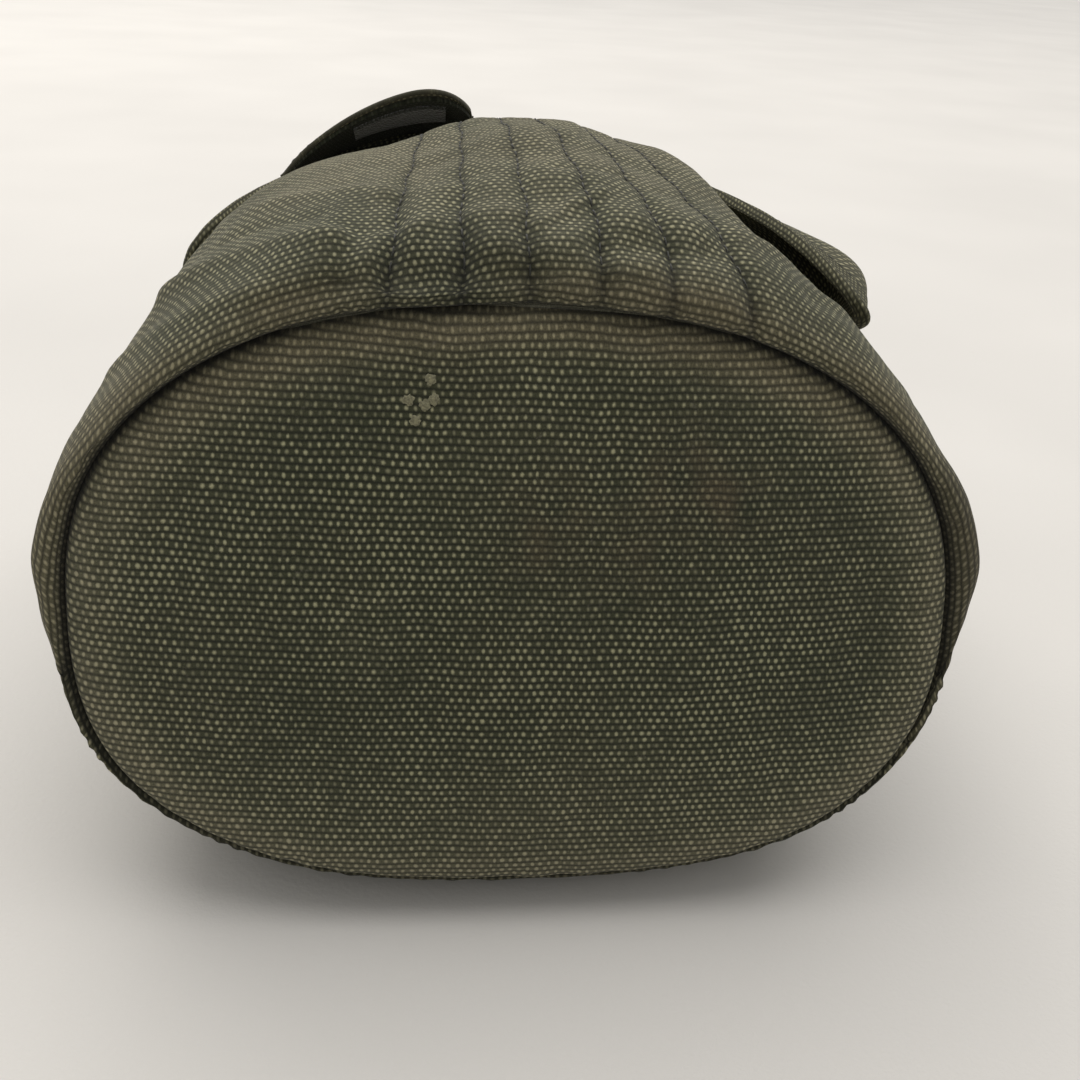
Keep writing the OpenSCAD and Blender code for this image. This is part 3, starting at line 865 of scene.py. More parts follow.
# folds of the front wall: from, to, width, height
FRONT_FOLDS = (
    ((-66, 38, 102), (-33, 25, 117), 3.0, 1.5),
    ((-68, 29, 97), (-40, 21, 110), 3.0, -0.8),
    ((-62, 48, 110), (-38, 36, 118), 3.6, -1.0),
    ((-56, 58, 114), (-24, 44, 123), 3.4, 1.0),
    ((-74, 24, 92), (-46, 18, 109), 2.6, 0.8),
    ((-31, 15, 112), (2, 15, 114), 4.5, -1.3),
    ((-20, 26, 119), (0, 30, 121), 3.0, 0.7),
    ((12, 22, 117), (34, 24, 116), 3.0, -0.8),
    ((52, 24, 108), (74, 30, 92), 3.0, -0.9),
    ((44, 34, 117), (70, 44, 102), 3.4, 0.9),
    ((7, 47, 125.5), (27, 53, 124.5), 2.2, -0.8),
    ((2, 27, 119), (14, 38, 123), 2.0, 0.9),
    ((-33, 17, 112), (-24, 30, 119), 3.4, -0.9),
    ((40, 45, 119), (58, 38, 112), 3.4, -0.7),
    ((46, 56, 119), (66, 52, 108), 4.0, 0.8),
    ((60, 30, 104), (78, 34, 88), 4.0, 0.6),
    ((-78, 40, 92), (-58, 60, 112), 5.0, -0.8),
    ((-80, 60, 80), (-66, 90, 100), 6.0, 0.8),
    ((70, 70, 90), (60, 110, 98), 6.0, -0.8),
)


def puckers(around, distance):
    """Gathers along the base seam, a few millimetres apart and uneven."""
    x = around * BASE_ROUND
    wave = np.sin(x * 0.83 + 2.2 * np.sin(x * 0.11) + 1.3 * np.sin(x * 0.037))
    wave = wave * (0.6 + 0.4 * np.sin(x * 0.19 + 1))
    return wave * bump_at(distance, 0, 5.5) * smooth_step(distance, 0.4, 2.4)


def front_relief(p, u, v):
    cloth = wall_cloth(v)
    y = p[..., 1]
    on_line, near_line, inside = quilt_hollow(p)
    near_seam = 1 - smooth_step(y, 30, 78)
    between = inside * (1 - np.clip(near_line, 0, 1))
    uneven = 0.75 + 0.45 * ripple(p, 22, 5)
    puff = between * (0.8 * near_seam * smooth_step(cloth, 1, 8) + 0.12) * uneven
    gather = near_line * smooth_step(cloth, 1, 5) * (1 - smooth_step(cloth, 9, 26))
    gather = gather * -0.42 * (1 + 0.9 * ripple(p, 16, 6))
    line = -0.38 * on_line * smooth_step(cloth, 2, 6)
    folds = sum(fold(p, *f) for f in FRONT_FOLDS)
    loose = 0.55 * ripple(p, 46, 2) + 0.24 * ripple(p, 17, 3) + 0.07 * ripple(p, 6, 4)
    loose = loose * smooth_step(cloth, 1.5, 12) * (1 - smooth_step(cloth, 138, 150))
    sides = -1.5 * both_sides(u, FRONT_SEAM) * smooth_step(cloth, 10, 30)
    return puff + gather + line + folds + loose + sides + 0.32 * puckers(u, cloth)


def front_masks(p, u, v):
    cloth = wall_cloth(v)
    on_line, near_line, inside = quilt_hollow(p)
    y, z = p[..., 1], p[..., 2]
    blotch = mottle(p, 24, 11)
    fine = mottle(p, 8, 12)
    edge = bump_at(cloth, 4.5, 4.2)
    # Painted highlight: the crest, the top of the front, is painted paler where light from above falls on it.
    crest = smooth_step(z, 96, 122) * smooth_step(y, 30, 62)
    # The sides are painted paler, the left far more than the right: some wear at both sides, and painted light
    # falling from the left.
    side = smooth_step(-p[..., 0], 60, 82) * 1.2 + smooth_step(p[..., 0], 55, 74) * 0.3
    in_shade = smooth_step(p[..., 0], 72, 82) * (1 - smooth_step(y, 20, 60)) * 0.5
    # Painted shade in the hollow just above the seam, left of the middle: the canvas there is made darker,
    # less pale and less brown.
    deep = bump_at(p[..., 0], -14, 16) * bump_at(y, 14, 11)
    between = inside * (1 - np.clip(near_line, 0, 1)) * (1 - smooth_step(y, 34, 70))
    # Ridges of the folds are painted paler: partly wear, partly painted highlight along the folds.
    ridge = np.clip(sum(fold(p, *f) for f in FRONT_FOLDS), 0, 1)
    worn = 0.46 + edge * (0.40 + 0.3 * fine) + crest * 0.5 + side + between * 0.22 + ridge * 0.25
    # Painted shade: less pale in the hollow above the seam and along the quilting lines.
    worn = worn * (0.7 + 0.5 * blotch) * (1 - 0.8 * deep) - 0.1 * np.clip(near_line, 0, 1)
    # Painted shade in the gathered hollows along the quilting lines, near the base seam.
    hollow = np.clip(near_line, 0, 1) * (1 - smooth_step(cloth, 12, 40)) * 0.25
    # Painted shadow in the groove of the base seam, lighter at the top middle, where the wall puffs right down
    # to the seam.
    open_top = bump_at(p[..., 0], -8, 26) * smooth_step(z, 90, 104)
    grime = (1 - 0.45 * open_top) * (1 - smooth_step(cloth, 0.4, 1.5))
    # Dark stitched quilting lines, and the painted shade of their hollows.
    grime = grime + 0.5 * np.clip(on_line, 0, 1) + hollow
    # Dark side seams, painted shade on the lower right of the front, and painted shade in the hollow above the
    # seam.
    grime = grime + 0.9 * both_sides(u, FRONT_SEAM) + in_shade + 0.3 * deep
    brown = bump_at(cloth, 7, 7) * (0.25 + 0.6 * blotch) * (1 - deep) + 0.22 * crest * fine
    return {"worn": worn, "grime": grime, "brown": brown}


def back_relief(p, u, v):
    cloth = wall_cloth(v)
    loose = (0.5 * ripple(p, 40, 22) + 0.2 * ripple(p, 15, 23)) * smooth_step(cloth, 1.5, 12)
    loose = loose * (1 - smooth_step(cloth, 138, 150))
    sides = -1.5 * both_sides(u, BACK_SEAM) * smooth_step(cloth, 10, 30)
    return loose + sides + 0.35 * puckers(u + 1, cloth)


def back_masks(p, u, v):
    cloth = wall_cloth(v)
    blotch = mottle(p, 24, 31)
    worn = 0.15 + bump_at(cloth, 4.5, 4.5) * 0.5 + 0.3 * blotch
    # Painted shadow in the groove of the base seam, and dark side seams.
    grime = (1 - smooth_step(cloth, 0.5, 2.0)) + 0.9 * both_sides(u, BACK_SEAM)
    return {"worn": worn, "grime": grime, "brown": bump_at(cloth, 6, 7) * 0.5 * blotch}


def base_relief(p, u, v):
    inward = (1 - to_middle(v)) * BASE_REACH
    loose = 0.55 * ripple(p, 60, 41) + 0.3 * ripple(p, 26, 42) + 0.05 * ripple(p, 7, 43)
    return loose * smooth_step(inward, 2, 16) + 0.26 * puckers(u * 1.3, inward)


# brown and faded spots of the base: across, up, size, strength
BASE_STAINS = ((28.9, 80.7, 9.0, 1.0), (3.6, 73.7, 8.0, 0.8), (18, 69, 7, 0.5), (38, 78, 6, 0.6))
BASE_FADED = ((-26.6, 55.9, 6.0, 1.0), (6, 58, 9, 0.25), (45, 82, 5, 0.3), (-8, 49, 7, 0.2))


def base_masks(p, u, v):
    inward = (1 - to_middle(v)) * BASE_REACH
    x, z = p[..., 0], p[..., 2]

    def spots(places):
        return sum(much * bump_at(np.hypot(x - a, z - b), 0, size) for a, b, size, much in places)

    blotch = mottle(p, 34, 51)
    fine = mottle(p, 9, 52)
    rim = bump_at(inward, 3, 5.5)
    top_rim = rim * smooth_step(z, 70, 104)
    worn = 0.06 + rim * (0.5 + 0.4 * fine) + 0.12 * blotch + 0.5 * spots(BASE_FADED) * fine
    # Paler towards the bottom of the base and towards its left.
    worn = worn + 0.1 * smooth_step(-x, 40, 80) + 0.5 * (1 - smooth_step(z, 8, 46))
    brown = top_rim * 0.6 + 0.12 * rim + spots(BASE_STAINS) * 1.1 * fine
    brown = brown + 0.1 * blotch * smooth_step(z, 60, 100)
    # Painted shadow in the groove of the seam round the base, lighter at the top middle where the wall puffs
    # down to it; the stains are darkened as well.
    open_top = bump_at(x, -8, 26) * smooth_step(z, 90, 104)
    grime = (1 - smooth_step(inward, 0.3, 1.1)) * (1 - 0.5 * open_top) + spots(BASE_STAINS) * 0.25
    return {"worn": worn, "grime": grime, "brown": brown}


def side_angle(a):
    return np.where(a > 90, 180 - a, a)


def skirt_shape(u, v, off=LID_GAP + LID_T):
    """The lid's skirt: u round the bag, v from its free edge to the end panel."""
    a = 218 - 256 * u
    left = a > 90
    side = side_angle(a)
    ear = bump_at(side, np.where(left, 28, 25), 17)
    edge = 6.35 - np.where(left, 1.6, 2.6) * ear + 0.75 / (1 + np.exp((side - 11) / 3.5))
    t = np.clip(v, 0, 1)
    swell = np.where(left, 3, 9) * bump_at(side, 21, np.where(left, 9, 14))
    arch = np.sin(np.pi * np.minimum(1, t * 1.6))
    swell = swell * (0.12 + 0.88 * arch)
    puffed = 6.5 * bump_at(a, 23, 11) * (0.2 + 0.8 * arch)
    swell = (swell + puffed + 1.9 * bump_at(a, 51, 15)) * (1 - t) ** 0.7
    p = wall(edge + (7.62 - edge) * v, a, off + swell - 1.3 * smooth_step(v, 0.93, 1.0), PANEL_FOOT)
    p[..., 1] += 1.7 * smooth_step(v, 0.9, 1.0)
    return p


def panel_shape(u, v):
    """The outside of the lid's end panel, from its rim to its middle."""
    k = 1 - v
    p = wall(np.full_like(k, 7.6), -90 - 360 * u, 2.1, PANEL_FOOT)
    z = MID_Z + k * (p[..., 2] - MID_Z)
    y = PANEL_Y + LID_T + 4 * (1 - k**3) - 1.6 * smooth_step(k, 0.97, 1.0)
    return np.stack([k * p[..., 0], y, z], -1)


def tab_shape(u, v, up):
    """The closing tab: u across it, v from its fold to its free edge, up millimetres over its underside."""
    tip, least = 0.72, 1.5
    left = u < tip
    k = np.where(left, (tip - u) / tip, (u - tip) / (1 - tip))
    round_off = np.maximum(1 - k ** np.where(left, 1.45, 2.4), 0) ** np.where(left, 0.95, 0.6)
    reach = least + (TAB_LEN - least) * round_off
    x = TAB_X + (u - 0.5) * TAB_W
    d = v * reach
    y = TAB_Y - d
    return np.stack([x, y, top_z(x, y, TAB_LIE) + TAB_CURL * (d / TAB_LEN) ** 1.4 + up], -1)


def tab_top(u, v):
    """The tab's outer side, v from its free edge to its fold."""
    return tab_shape(u, 1 - v, 2.5)


def tab_fold_shape(u, v):
    """Where the tab is sewn to the lid, and over its fold: v from the fold back to the lid."""
    x = TAB_X + (u - 0.5) * (TAB_W + 0.6)
    y = TAB_Y - 1.6 + 12.6 * v
    rise = 2.8 - 1.55 * smooth_step(y, 135.5, 139.5)
    return np.stack([x, y, top_z(x, y, TAB_LIE) + rise], -1)


def side_place(side, x, y, z):
    """From a ring's own place to the bag: x out from the wall, y along the bag, z up."""
    c, s = math.cos(math.radians(LOOP_TURN)), math.sin(math.radians(LOOP_TURN))
    return np.stack([side * (LOOP[0] + x * c - y * s), LOOP[1] + x * s + y * c, LOOP[2] + z], -1)


LOOP_PATH = ((-0.78, -22), (-0.78, -12), (-0.75, -6), (0.3, -3.2), (2.0, -1.3), (2.38, 0.3), (1.7, 1.75),
             (0, 2.38), (-1.7, 1.75), (-2.38, 0), (-2.38, -6), (-2.38, -14), (-2.38, -22))


def webbing_shape(side):
    path = np.array(LOOP_PATH)
    run = run_along(path)

    def place(u, v):
        x = smooth_curve(v * run[-1], run, path[:, 0])
        y = smooth_curve(v * run[-1], run, path[:, 1])
        return side_place(side, x, y, (u - 0.5) * 23.6 * side)

    return place


def pillow(name, outline, middle, half, squareness, around=160, across=40, crown=0.0):
    """A padded closed piece, half thick each way from its middle.

    outline(u) gives two coordinates in the piece's plane; middle is the third. squareness squares its edge.
    """
    plane, through = (0, 2), 1
    if name == "divider":
        plane, through = (1, 2), 0

    def place(u, v):
        p = outline(u)
        centre = p.reshape(-1, 2).mean(0)
        side = np.cos(math.pi * v)
        k = np.sin(math.pi * v) ** (1 / squareness)
        out = np.zeros(u.shape + (3,))
        out[..., plane[0]] = centre[0] + k * (p[..., 0] - centre[0])
        out[..., plane[1]] = centre[1] + k * (p[..., 1] - centre[1])
        flatness = np.sign(side) * np.abs(side) ** 0.42
        out[..., through] = middle + half * flatness * (1 + crown * (1 - k**2))
        return out

    piece = skin(name, around, across, place, closed=True)
    edit_all(piece, lambda: bpy.ops.mesh.normals_make_consistent(inside=False))
    return piece


def divider_outline(u):
    """Side view of the divider: along the front wall, and back along the back wall."""
    front = station(np.linspace(2.85, 5.65, 40))
    back = station(np.linspace(5.65, 2.2, 40))
    off = 12.0
    points = np.concatenate([
        np.stack([front[:, 0], front[:, 2] - off], -1),
        np.stack([back[:, 0], np.maximum(back[:, 3], 0) + off], -1),
    ])
    points = np.concatenate([points, points[:1]])
    run = run_along(points)
    at = (u % 1) * run[-1]
    return np.stack([np.interp(at, run, points[:, 0]), np.interp(at, run, points[:, 1])], -1)


# ---------------------------------------------------------------- sizes and colours in the panel

class BagColours(bpy.types.PropertyGroup):
    """Colours of the bag's cloth, thread and fittings."""

    ground: bpy.props.FloatVectorProperty(
        name="Ground", description="Canvas between its raised threads", subtype="COLOR", size=3,
        min=0, max=1, default=(0.0135, 0.0165, 0.0068))
    knuckle: bpy.props.FloatVectorProperty(
        name="Raised threads", description="Canvas where its threads rise", subtype="COLOR", size=3,
        min=0, max=1, default=(0.345, 0.340, 0.200))
    # Pale threads, used where the canvas is rubbed and in the painted highlights.
    worn: bpy.props.FloatVectorProperty(
        name="Worn threads", description="Raised threads where canvas is rubbed pale", subtype="COLOR", size=3,
        min=0, max=1, default=(0.390, 0.360, 0.235))
    brown: bpy.props.FloatVectorProperty(
        name="Tanned", description="Canvas that has gone brown", subtype="COLOR", size=3,
        min=0, max=1, default=(0.215, 0.180, 0.100))
    lining: bpy.props.FloatVectorProperty(
        name="Lining", description="Thin cloth inside the bag", subtype="COLOR", size=3,
        min=0, max=1, default=(0.085, 0.083, 0.058))
    tape: bpy.props.FloatVectorProperty(
        name="Tape", description="Binding and webbing", subtype="COLOR", size=3,
        min=0, max=1, default=(0.060, 0.060, 0.042))
    thread: bpy.props.FloatVectorProperty(
        name="Thread", description="Dark sewing thread", subtype="COLOR", size=3,
        min=0, max=1, default=(0.020, 0.021, 0.015))
    pale_thread: bpy.props.FloatVectorProperty(
        name="Snagged thread", description="Thread pulled out of the canvas", subtype="COLOR", size=3,
        min=0, max=1, default=(0.19, 0.18, 0.105))
    pile: bpy.props.FloatVectorProperty(
        name="Hook and loop", description="Pile of the closing tapes", subtype="COLOR", size=3,
        min=0, max=1, default=(0.015, 0.0155, 0.0095))
    brass: bpy.props.FloatVectorProperty(
        name="Brass", description="Rings", subtype="COLOR", size=3,
        min=0, max=1, default=(0.42, 0.32, 0.15))
    board: bpy.props.FloatVectorProperty(
        name="Board", description="Fibre board in the base", subtype="COLOR", size=3,
        min=0, max=1, default=(0.12, 0.10, 0.075))


class BagSizes(bpy.types.PropertyGroup):
    """Sizes that can be changed without leaving the fixed frame."""

    cloth_give: bpy.props.FloatProperty(
        name="Give of the cloth", description="Farthest that slack canvas may move", unit="LENGTH",
        min=0, max=0.005, default=0.0024)
    slack: bpy.props.FloatProperty(
        name="Slack", description="Extra canvas over the padding", subtype="FACTOR",
        min=0, max=0.1, default=0.03)
    fill: bpy.props.FloatProperty(
        name="Fill", description="How tight the padding is", subtype="FACTOR",
        min=0, max=1, default=0.6)


class BagOperator:
    """What the bag's operators share."""

    bl_options = {"REGISTER", "UNDO"}


class BAG_OT_front_wall(BagOperator, bpy.types.Operator):
    """Makes the quilted front wall, slack over its padding"""

    bl_idname = "bag.front_wall"
    bl_label = "Front wall"

    def execute(self, context):
        sizes = context.scene.bag_sizes

        def held(u, v):
            p = front_shape(u, v)
            line = np.clip(quilt_hollow(p)[0], 0, 1) * (1 - smooth_step(p[..., 1], 40, 110))
            edges = (v < 0.05) | (v > 0.96) | (u < 0.012) | (u > 0.988)
            return np.where(edges, 1.0, line * 0.95)

        give = sizes.cloth_give * 1000
        rest = slack_cloth("front_slack", 110, 46, front_shape, held, 3.0, sizes.slack, give)

        def place(u, v):
            p = front_shape(u, v)
            taut = smooth_step(np.abs(p[..., 0]), 30, 55) * 0.85
            return p + rest(u, v) * (smooth_step(v, 0.03, 0.10) * (1 - taut))[..., None]

        piece = skin("front_wall", 360, 150, place, front_relief, front_masks)
        finish(piece, finish_named("canvas"), "shell", "canvas", "front_canvas", "side_seam_tapes")
        return {"FINISHED"}


class BAG_OT_back_wall(BagOperator, bpy.types.Operator):
    """Makes the back wall, flat where the bag lies on it"""

    bl_idname = "bag.back_wall"
    bl_label = "Back wall"

    def execute(self, context):
        piece = skin("back_wall", 260, 110, back_shape, back_relief, back_masks)
        finish(piece, finish_named("canvas"), "shell", "canvas", "back_canvas")
        return {"FINISHED"}


class BAG_OT_base_panel(BagOperator, bpy.types.Operator):
    """Makes the oval base panel, sunk into its seam"""

    bl_idname = "bag.base_panel"
    bl_label = "Base panel"

    def execute(self, context):
        piece = skin("base_panel", 400, 100, base_shape, base_relief, base_masks, flat_base, closed=True)
        nodes = ("base_canvas", "base_foam", "base_seam_tape")
        finish(piece, finish_named("canvas"), "shell", "canvas", *nodes)
        return {"FINISHED"}


class BAG_OT_inside(BagOperator, bpy.types.Operator):
    """Makes the lining of the walls and the base, and finishes the board"""

    bl_idname = "bag.inside"
    bl_label = "Lining and board"

    def execute(self, context):
        def wall_inside(u, v):
            inner = LINING_IN + LINING_HALF
            p = wall(1.5 + 5.43 * v, 360 * u - 90, -inner)
            p[..., 2] = np.maximum(p[..., 2], inner)
            return p

        def loose(p, u, v):
            inside = smooth_step(v, 0, 0.06) * (1 - smooth_step(v, 0.92, 1))
            return (0.5 * ripple(p, 30, 61) + 0.2 * ripple(p, 11, 62)) * inside

        sleeve = skin("wall_inside", 160, 60, wall_inside, loose, closed=True, thick=0.6)
        finish(sleeve, finish_named("lining"), "shell", "lining", "wall_lining", "wall_foam")

        def base_inside(u, v):
            k = 1 - v
            p = wall_inside(1 - u, np.full_like(u, 0.03))
            z = MID_Z + k * (p[..., 2] - MID_Z)
            y = 18.4 + 0.1 * (z - MID_Z) - 1.5 * (1 - k**3)
            return np.stack([k * p[..., 0], y, z], -1)

        def sagging(p, u, v):
            return 0.3 * ripple(p, 26, 63) * smooth_step(v, 0, 0.1)

        floor = skin("base_inside", 160, 30, base_inside, sagging, cut=flat_base, closed=True)
        if floor.data.polygons[0].normal.y < 0:
            edit_all(floor, bpy.ops.mesh.flip_normals)
        finish(floor, finish_named("lining"), "shell", "lining", "base_lining")
        refinish("base_board", "board")
        return {"FINISHED"}


class BAG_OT_mouth(BagOperator, bpy.types.Operator):
    """Makes the binding of the mouth"""

    bl_idname = "bag.mouth"
    bl_label = "Mouth binding"

    def execute(self, context):
        # the binding's section: how far out from the wall, and how far along the bag
        profile = np.array([
            (0.2, 145.2), (0.85, 145.6), (1.0, 149.4), (0.7, 151.3), (-1.0, 152.2), (-4.4, 152.4),
            (-7.8, 152.2), (-9.3, 151.2), (-9.6, 149.2), (-9.4, 145.6), (-8.9, 145.2),
        ])
        at = np.linspace(0, 1, len(profile))

        def place(u, v):
            off = smooth_curve(v, at, profile[:, 0])
            p = wall(np.full_like(u, 6.9), 270 - 360 * u, off)
            p[..., 1] = smooth_curve(v, at, profile[:, 1])
            p[..., 2] = np.maximum(p[..., 2], 0.3 - np.minimum(off, 0))
            return p

        piece = skin("mouth_tape", 240, 26, place, lambda p, u, v: 0.1 * ripple(p, 5, 71), closed=True)
        finish(piece, finish_named("tape"), "shell", "tape", "mouth_binding")
        return {"FINISHED"}


class BAG_OT_closing_tapes(BagOperator, bpy.types.Operator):
    """Makes the loop tape on the front wall and the strips that hold the divider"""

    bl_idname = "bag.closing_tapes"
    bl_label = "Hook-and-loop tapes"

    def execute(self, context):
        def loop_place(u, v):
            return rolled_wall(np.interp(5.3 + 0.55 * v, range(LAST + 1), CLOTH_AT), 117 - 19 * u, 1.5)

        patch = skin("front_loop_tape", 24, 18, loop_place, thick=1.0)
        finish(patch, finish_named("pile"), "shell", "hook_and_loop", "wall_loop_patch")
        inner = LINING_IN + LINING_HALF + 1.6

        def strip(from_angle, to_angle):
            def place(u, v):
                p = wall(2.2 + 3.6 * v, from_angle + (to_angle - from_angle) * u, -inner)
                p[..., 2] = np.maximum(p[..., 2], inner)
                return p
            return place

        over_and_under = ((78, 102), (258, 282))
        strips = [skin("divider_loops", 16, 60, strip(*ends), thick=0.9) for ends in over_and_under]
        finish(joined(strips), finish_named("pile"), "shell", "hook_and_loop", "divider_loop_strips")
        return {"FINISHED"}


class BAG_OT_rings(BagOperator, bpy.types.Operator):
    """Makes the webbing loops and finishes the brass rings"""

    bl_idname = "bag.rings"
    bl_label = "Rings and loops"

    def execute(self, context):
        for name, side in (("left", -1), ("right", 1)):
            loop = skin(f"{name}_webbing_loop", 30, 60, webbing_shape(side))
            solid = loop.modifiers.new("Webbing", "SOLIDIFY")
            solid.thickness = 0.00145
            solid.offset = 0
            apply_modifiers(loop)
            finish(loop, finish_named("webbing"), "shell", "webbing", f"{name}_ring_loop")
            refinish(f"{name}_d_ring", "brass")
        return {"FINISHED"}


class BAG_OT_divider(BagOperator, bpy.types.Operator):
    """Makes the padded divider and its hook tapes"""

    bl_idname = "bag.divider"
    bl_label = "Padded divider"

    def execute(self, context):
        piece = pillow("divider", divider_outline, 0.0, 4.1, 7, crown=0.1)
        finish(piece, finish_named("lining"), "divider", "lining", "divider_foam", "divider_cover")

        def edge(top):
            def place(u, v):
                y = 53 + 60 * v
                w = station(np.where(y > 75, 4 + (y - 75) / 27.5, 3 + (y - 45) / 30))
                x = (u - 0.5) * 7.6 * (1 if top else -1)
                z = w[..., 2] - 11.6 if top else np.maximum(w[..., 3], 0) + 11.6
                return np.stack([x, y, z], -1)
            return place

        strips = [skin("divider_hooks", 10, 50, edge(top), thick=0.8) for top in (True, False)]
        finish(joined(strips), finish_named("pile"), "divider", "hook_and_loop", "divider_hook_strips")
        return {"FINISHED"}


class BAG_OT_lid(BagOperator, bpy.types.Operator):
    """Makes the lid: skirt, edge binding, end panel, padding, and the strip it turns on"""

    bl_idname = "bag.lid"
    bl_label = "Lid"

    def execute(self, context):
        def skirt_relief(p, u, v):
            inside = smooth_step(v, 0.05, 0.3) * (1 - smooth_step(v, 0.8, 0.95))
            return (0.3 * ripple(p, 26, 81) + 0.1 * ripple(p, 9, 82)) * inside

        def skirt_masks(p, u, v):
            blotch = mottle(p, 20, 83)
            grime = 0.7 * smooth_step(v, 0.97, 1.0)
            return {"worn": 0.35 + 0.35 * blotch, "grime": grime, "brown": 0.15 * blotch}

        def cut_from_end(grid):
            flat = cloth_lengths(grid[::-1])[::-1]
            return np.stack([flat[..., 0][-1:] + 0 * flat[..., 0], -flat[..., 1]], -1)

        def skirt(u, v):
            return skirt_shape(u, 0.02 + 0.98 * v)

        side = skin("lid_side", 300, 50, skirt, skirt_relief, skirt_masks, cut_from_end, thick=1.9)
        finish(side, finish_named("canvas"), "lid", "canvas", "lid_skirt")
        # the edge binding's section: how far up the skirt, and how far out from the wall
        edge = np.array([
            (0.055, 1.25), (0.0, 1.05), (-0.02, 1.5), (-0.028, 2.5),
            (-0.02, 3.5), (0.0, 3.95), (0.055, 3.85),
        ])
        at = np.linspace(0, 1, len(edge))

        def bound(u, v):
            return skirt_shape(u, smooth_curve(v, at, edge[:, 0]), smooth_curve(v, at, edge[:, 1]))

        def bound_masks(p, u, v):
            a = 218 - 256 * u
            # Painted shade: the front of the binding, under the tab and the lid's edge, is darkened and kept
            # from going pale or brown.
            front = smooth_step(a, 66, 84) * (1 - smooth_step(a, 122, 136))
            return {"worn": 0.25 * (1 - front), "grime": front, "brown": 0.3 * (1 - front)}

        def bound_relief(p, u, v):
            return 0.07 * ripple(p, 5, 84)

        tape = skin("lid_edge_tape", 300, 18, bound, bound_relief, bound_masks)
        finish(tape, finish_named("canvas"), "lid", "tape", "lid_skirt_binding")

        def panel_relief(p, u, v):
            return (0.5 * ripple(p, 40, 85) + 0.2 * ripple(p, 15, 86)) * smooth_step(v, 0.02, 0.2)

        def panel_masks(p, u, v):
            blotch = mottle(p, 25, 87)
            worn = 0.15 + 0.3 * blotch + bump_at(v, 0.05, 0.05) * 0.4
            return {"worn": worn, "grime": 1 - smooth_step(v, 0.0, 0.025), "brown": 0.25 * blotch}

        panel = skin("lid_end", 300, 60, panel_shape, panel_relief, panel_masks, flat_base,
                     closed=True, thick=1.8)
        finish(panel, finish_named("canvas"), "lid", "canvas", "lid_panel")

        def lid_outline(u):
            p = wall(np.full_like(u, 7.0), 360 * u, -6.9)
            return np.stack([p[..., 0], p[..., 2]], -1)

        pad = pillow("lid_pad", lid_outline, 155.6, 2.35, 9)
        finish(pad, finish_named("lining"), "lid", "lining", "lid_foam", "lid_lining")
        # the hinge strip from the wall to the lid's end: how far along the bag, and how high
        path = np.array([
            (147.0, 0.9), (151.0, 0.9), (155.0, 1.1), (158.4, 1.6),
            (160.8, 2.6), (161.8, 5.2), (162.4, 9.5),
        ])
        along = np.linspace(0, 1, len(path))

        def hinge(u, v):
            y, z = smooth_curve(v, along, path[:, 0]), smooth_curve(v, along, path[:, 1])
            return np.stack([(0.5 - u) * 74, y, z], -1)

        strip = skin("lid_hinge_cloth", 60, 30, hinge, thick=0.5)
        finish(strip, finish_named("canvas"), None, "canvas", "lid_hinge_strip")
        fixed, turning = tuple(metres((0, 154.5, 0.6))), tuple(metres((0, 161.0, 3.0)))
        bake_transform(strip)
        return {"FINISHED"}


class BAG_OT_tab(BagOperator, bpy.types.Operator):
    """Makes the curled closing tab"""

    bl_idname = "bag.tab"
    bl_label = "Closing tab"

    def execute(self, context):
        def masks(p, u, v):
            rim = bump_at(v, 0, 0.08) + bump_at(u, 0, 0.03) + bump_at(u, 1, 0.03)
            return {"worn": 0.3 + 0.5 * rim, "grime": np.zeros_like(u), "brown": 0.2 * rim}

        def underside(u, v):
            return tab_shape(0.015 + 0.97 * u, 0.98 * v, 0.0)

        def patch(u, v):
            return tab_shape(0.4 + 0.46 * u, 0.4 + 0.46 * v, -0.9)

        upper = skin("tab_upper", 90, 40, tab_top, None, masks, thick=1.15)
        finish(upper, finish_named("canvas"), "tab", "canvas", "tab_canvas")
        under = skin("tab_under", 90, 40, underside, thick=1.15)
        finish(under, finish_named("shaded_canvas"), "tab", "lining", "tab_lining")
        hooks = skin("tab_hooks", 40, 24, patch, thick=0.9)
        finish(hooks, finish_named("pile"), "tab", "hook_and_loop", "tab_hook_patch")
        root = skin("tab_fold", 70, 30, tab_fold_shape, None, masks, thick=0.9)
        finish(root, finish_named("canvas"), None, "canvas", "tab_root")
        fixed, bending = tuple(metres((TAB_X, 138.5, 116))), tuple(metres((TAB_X, 134.6, 117.5)))
        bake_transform(root)
        return {"FINISHED"}


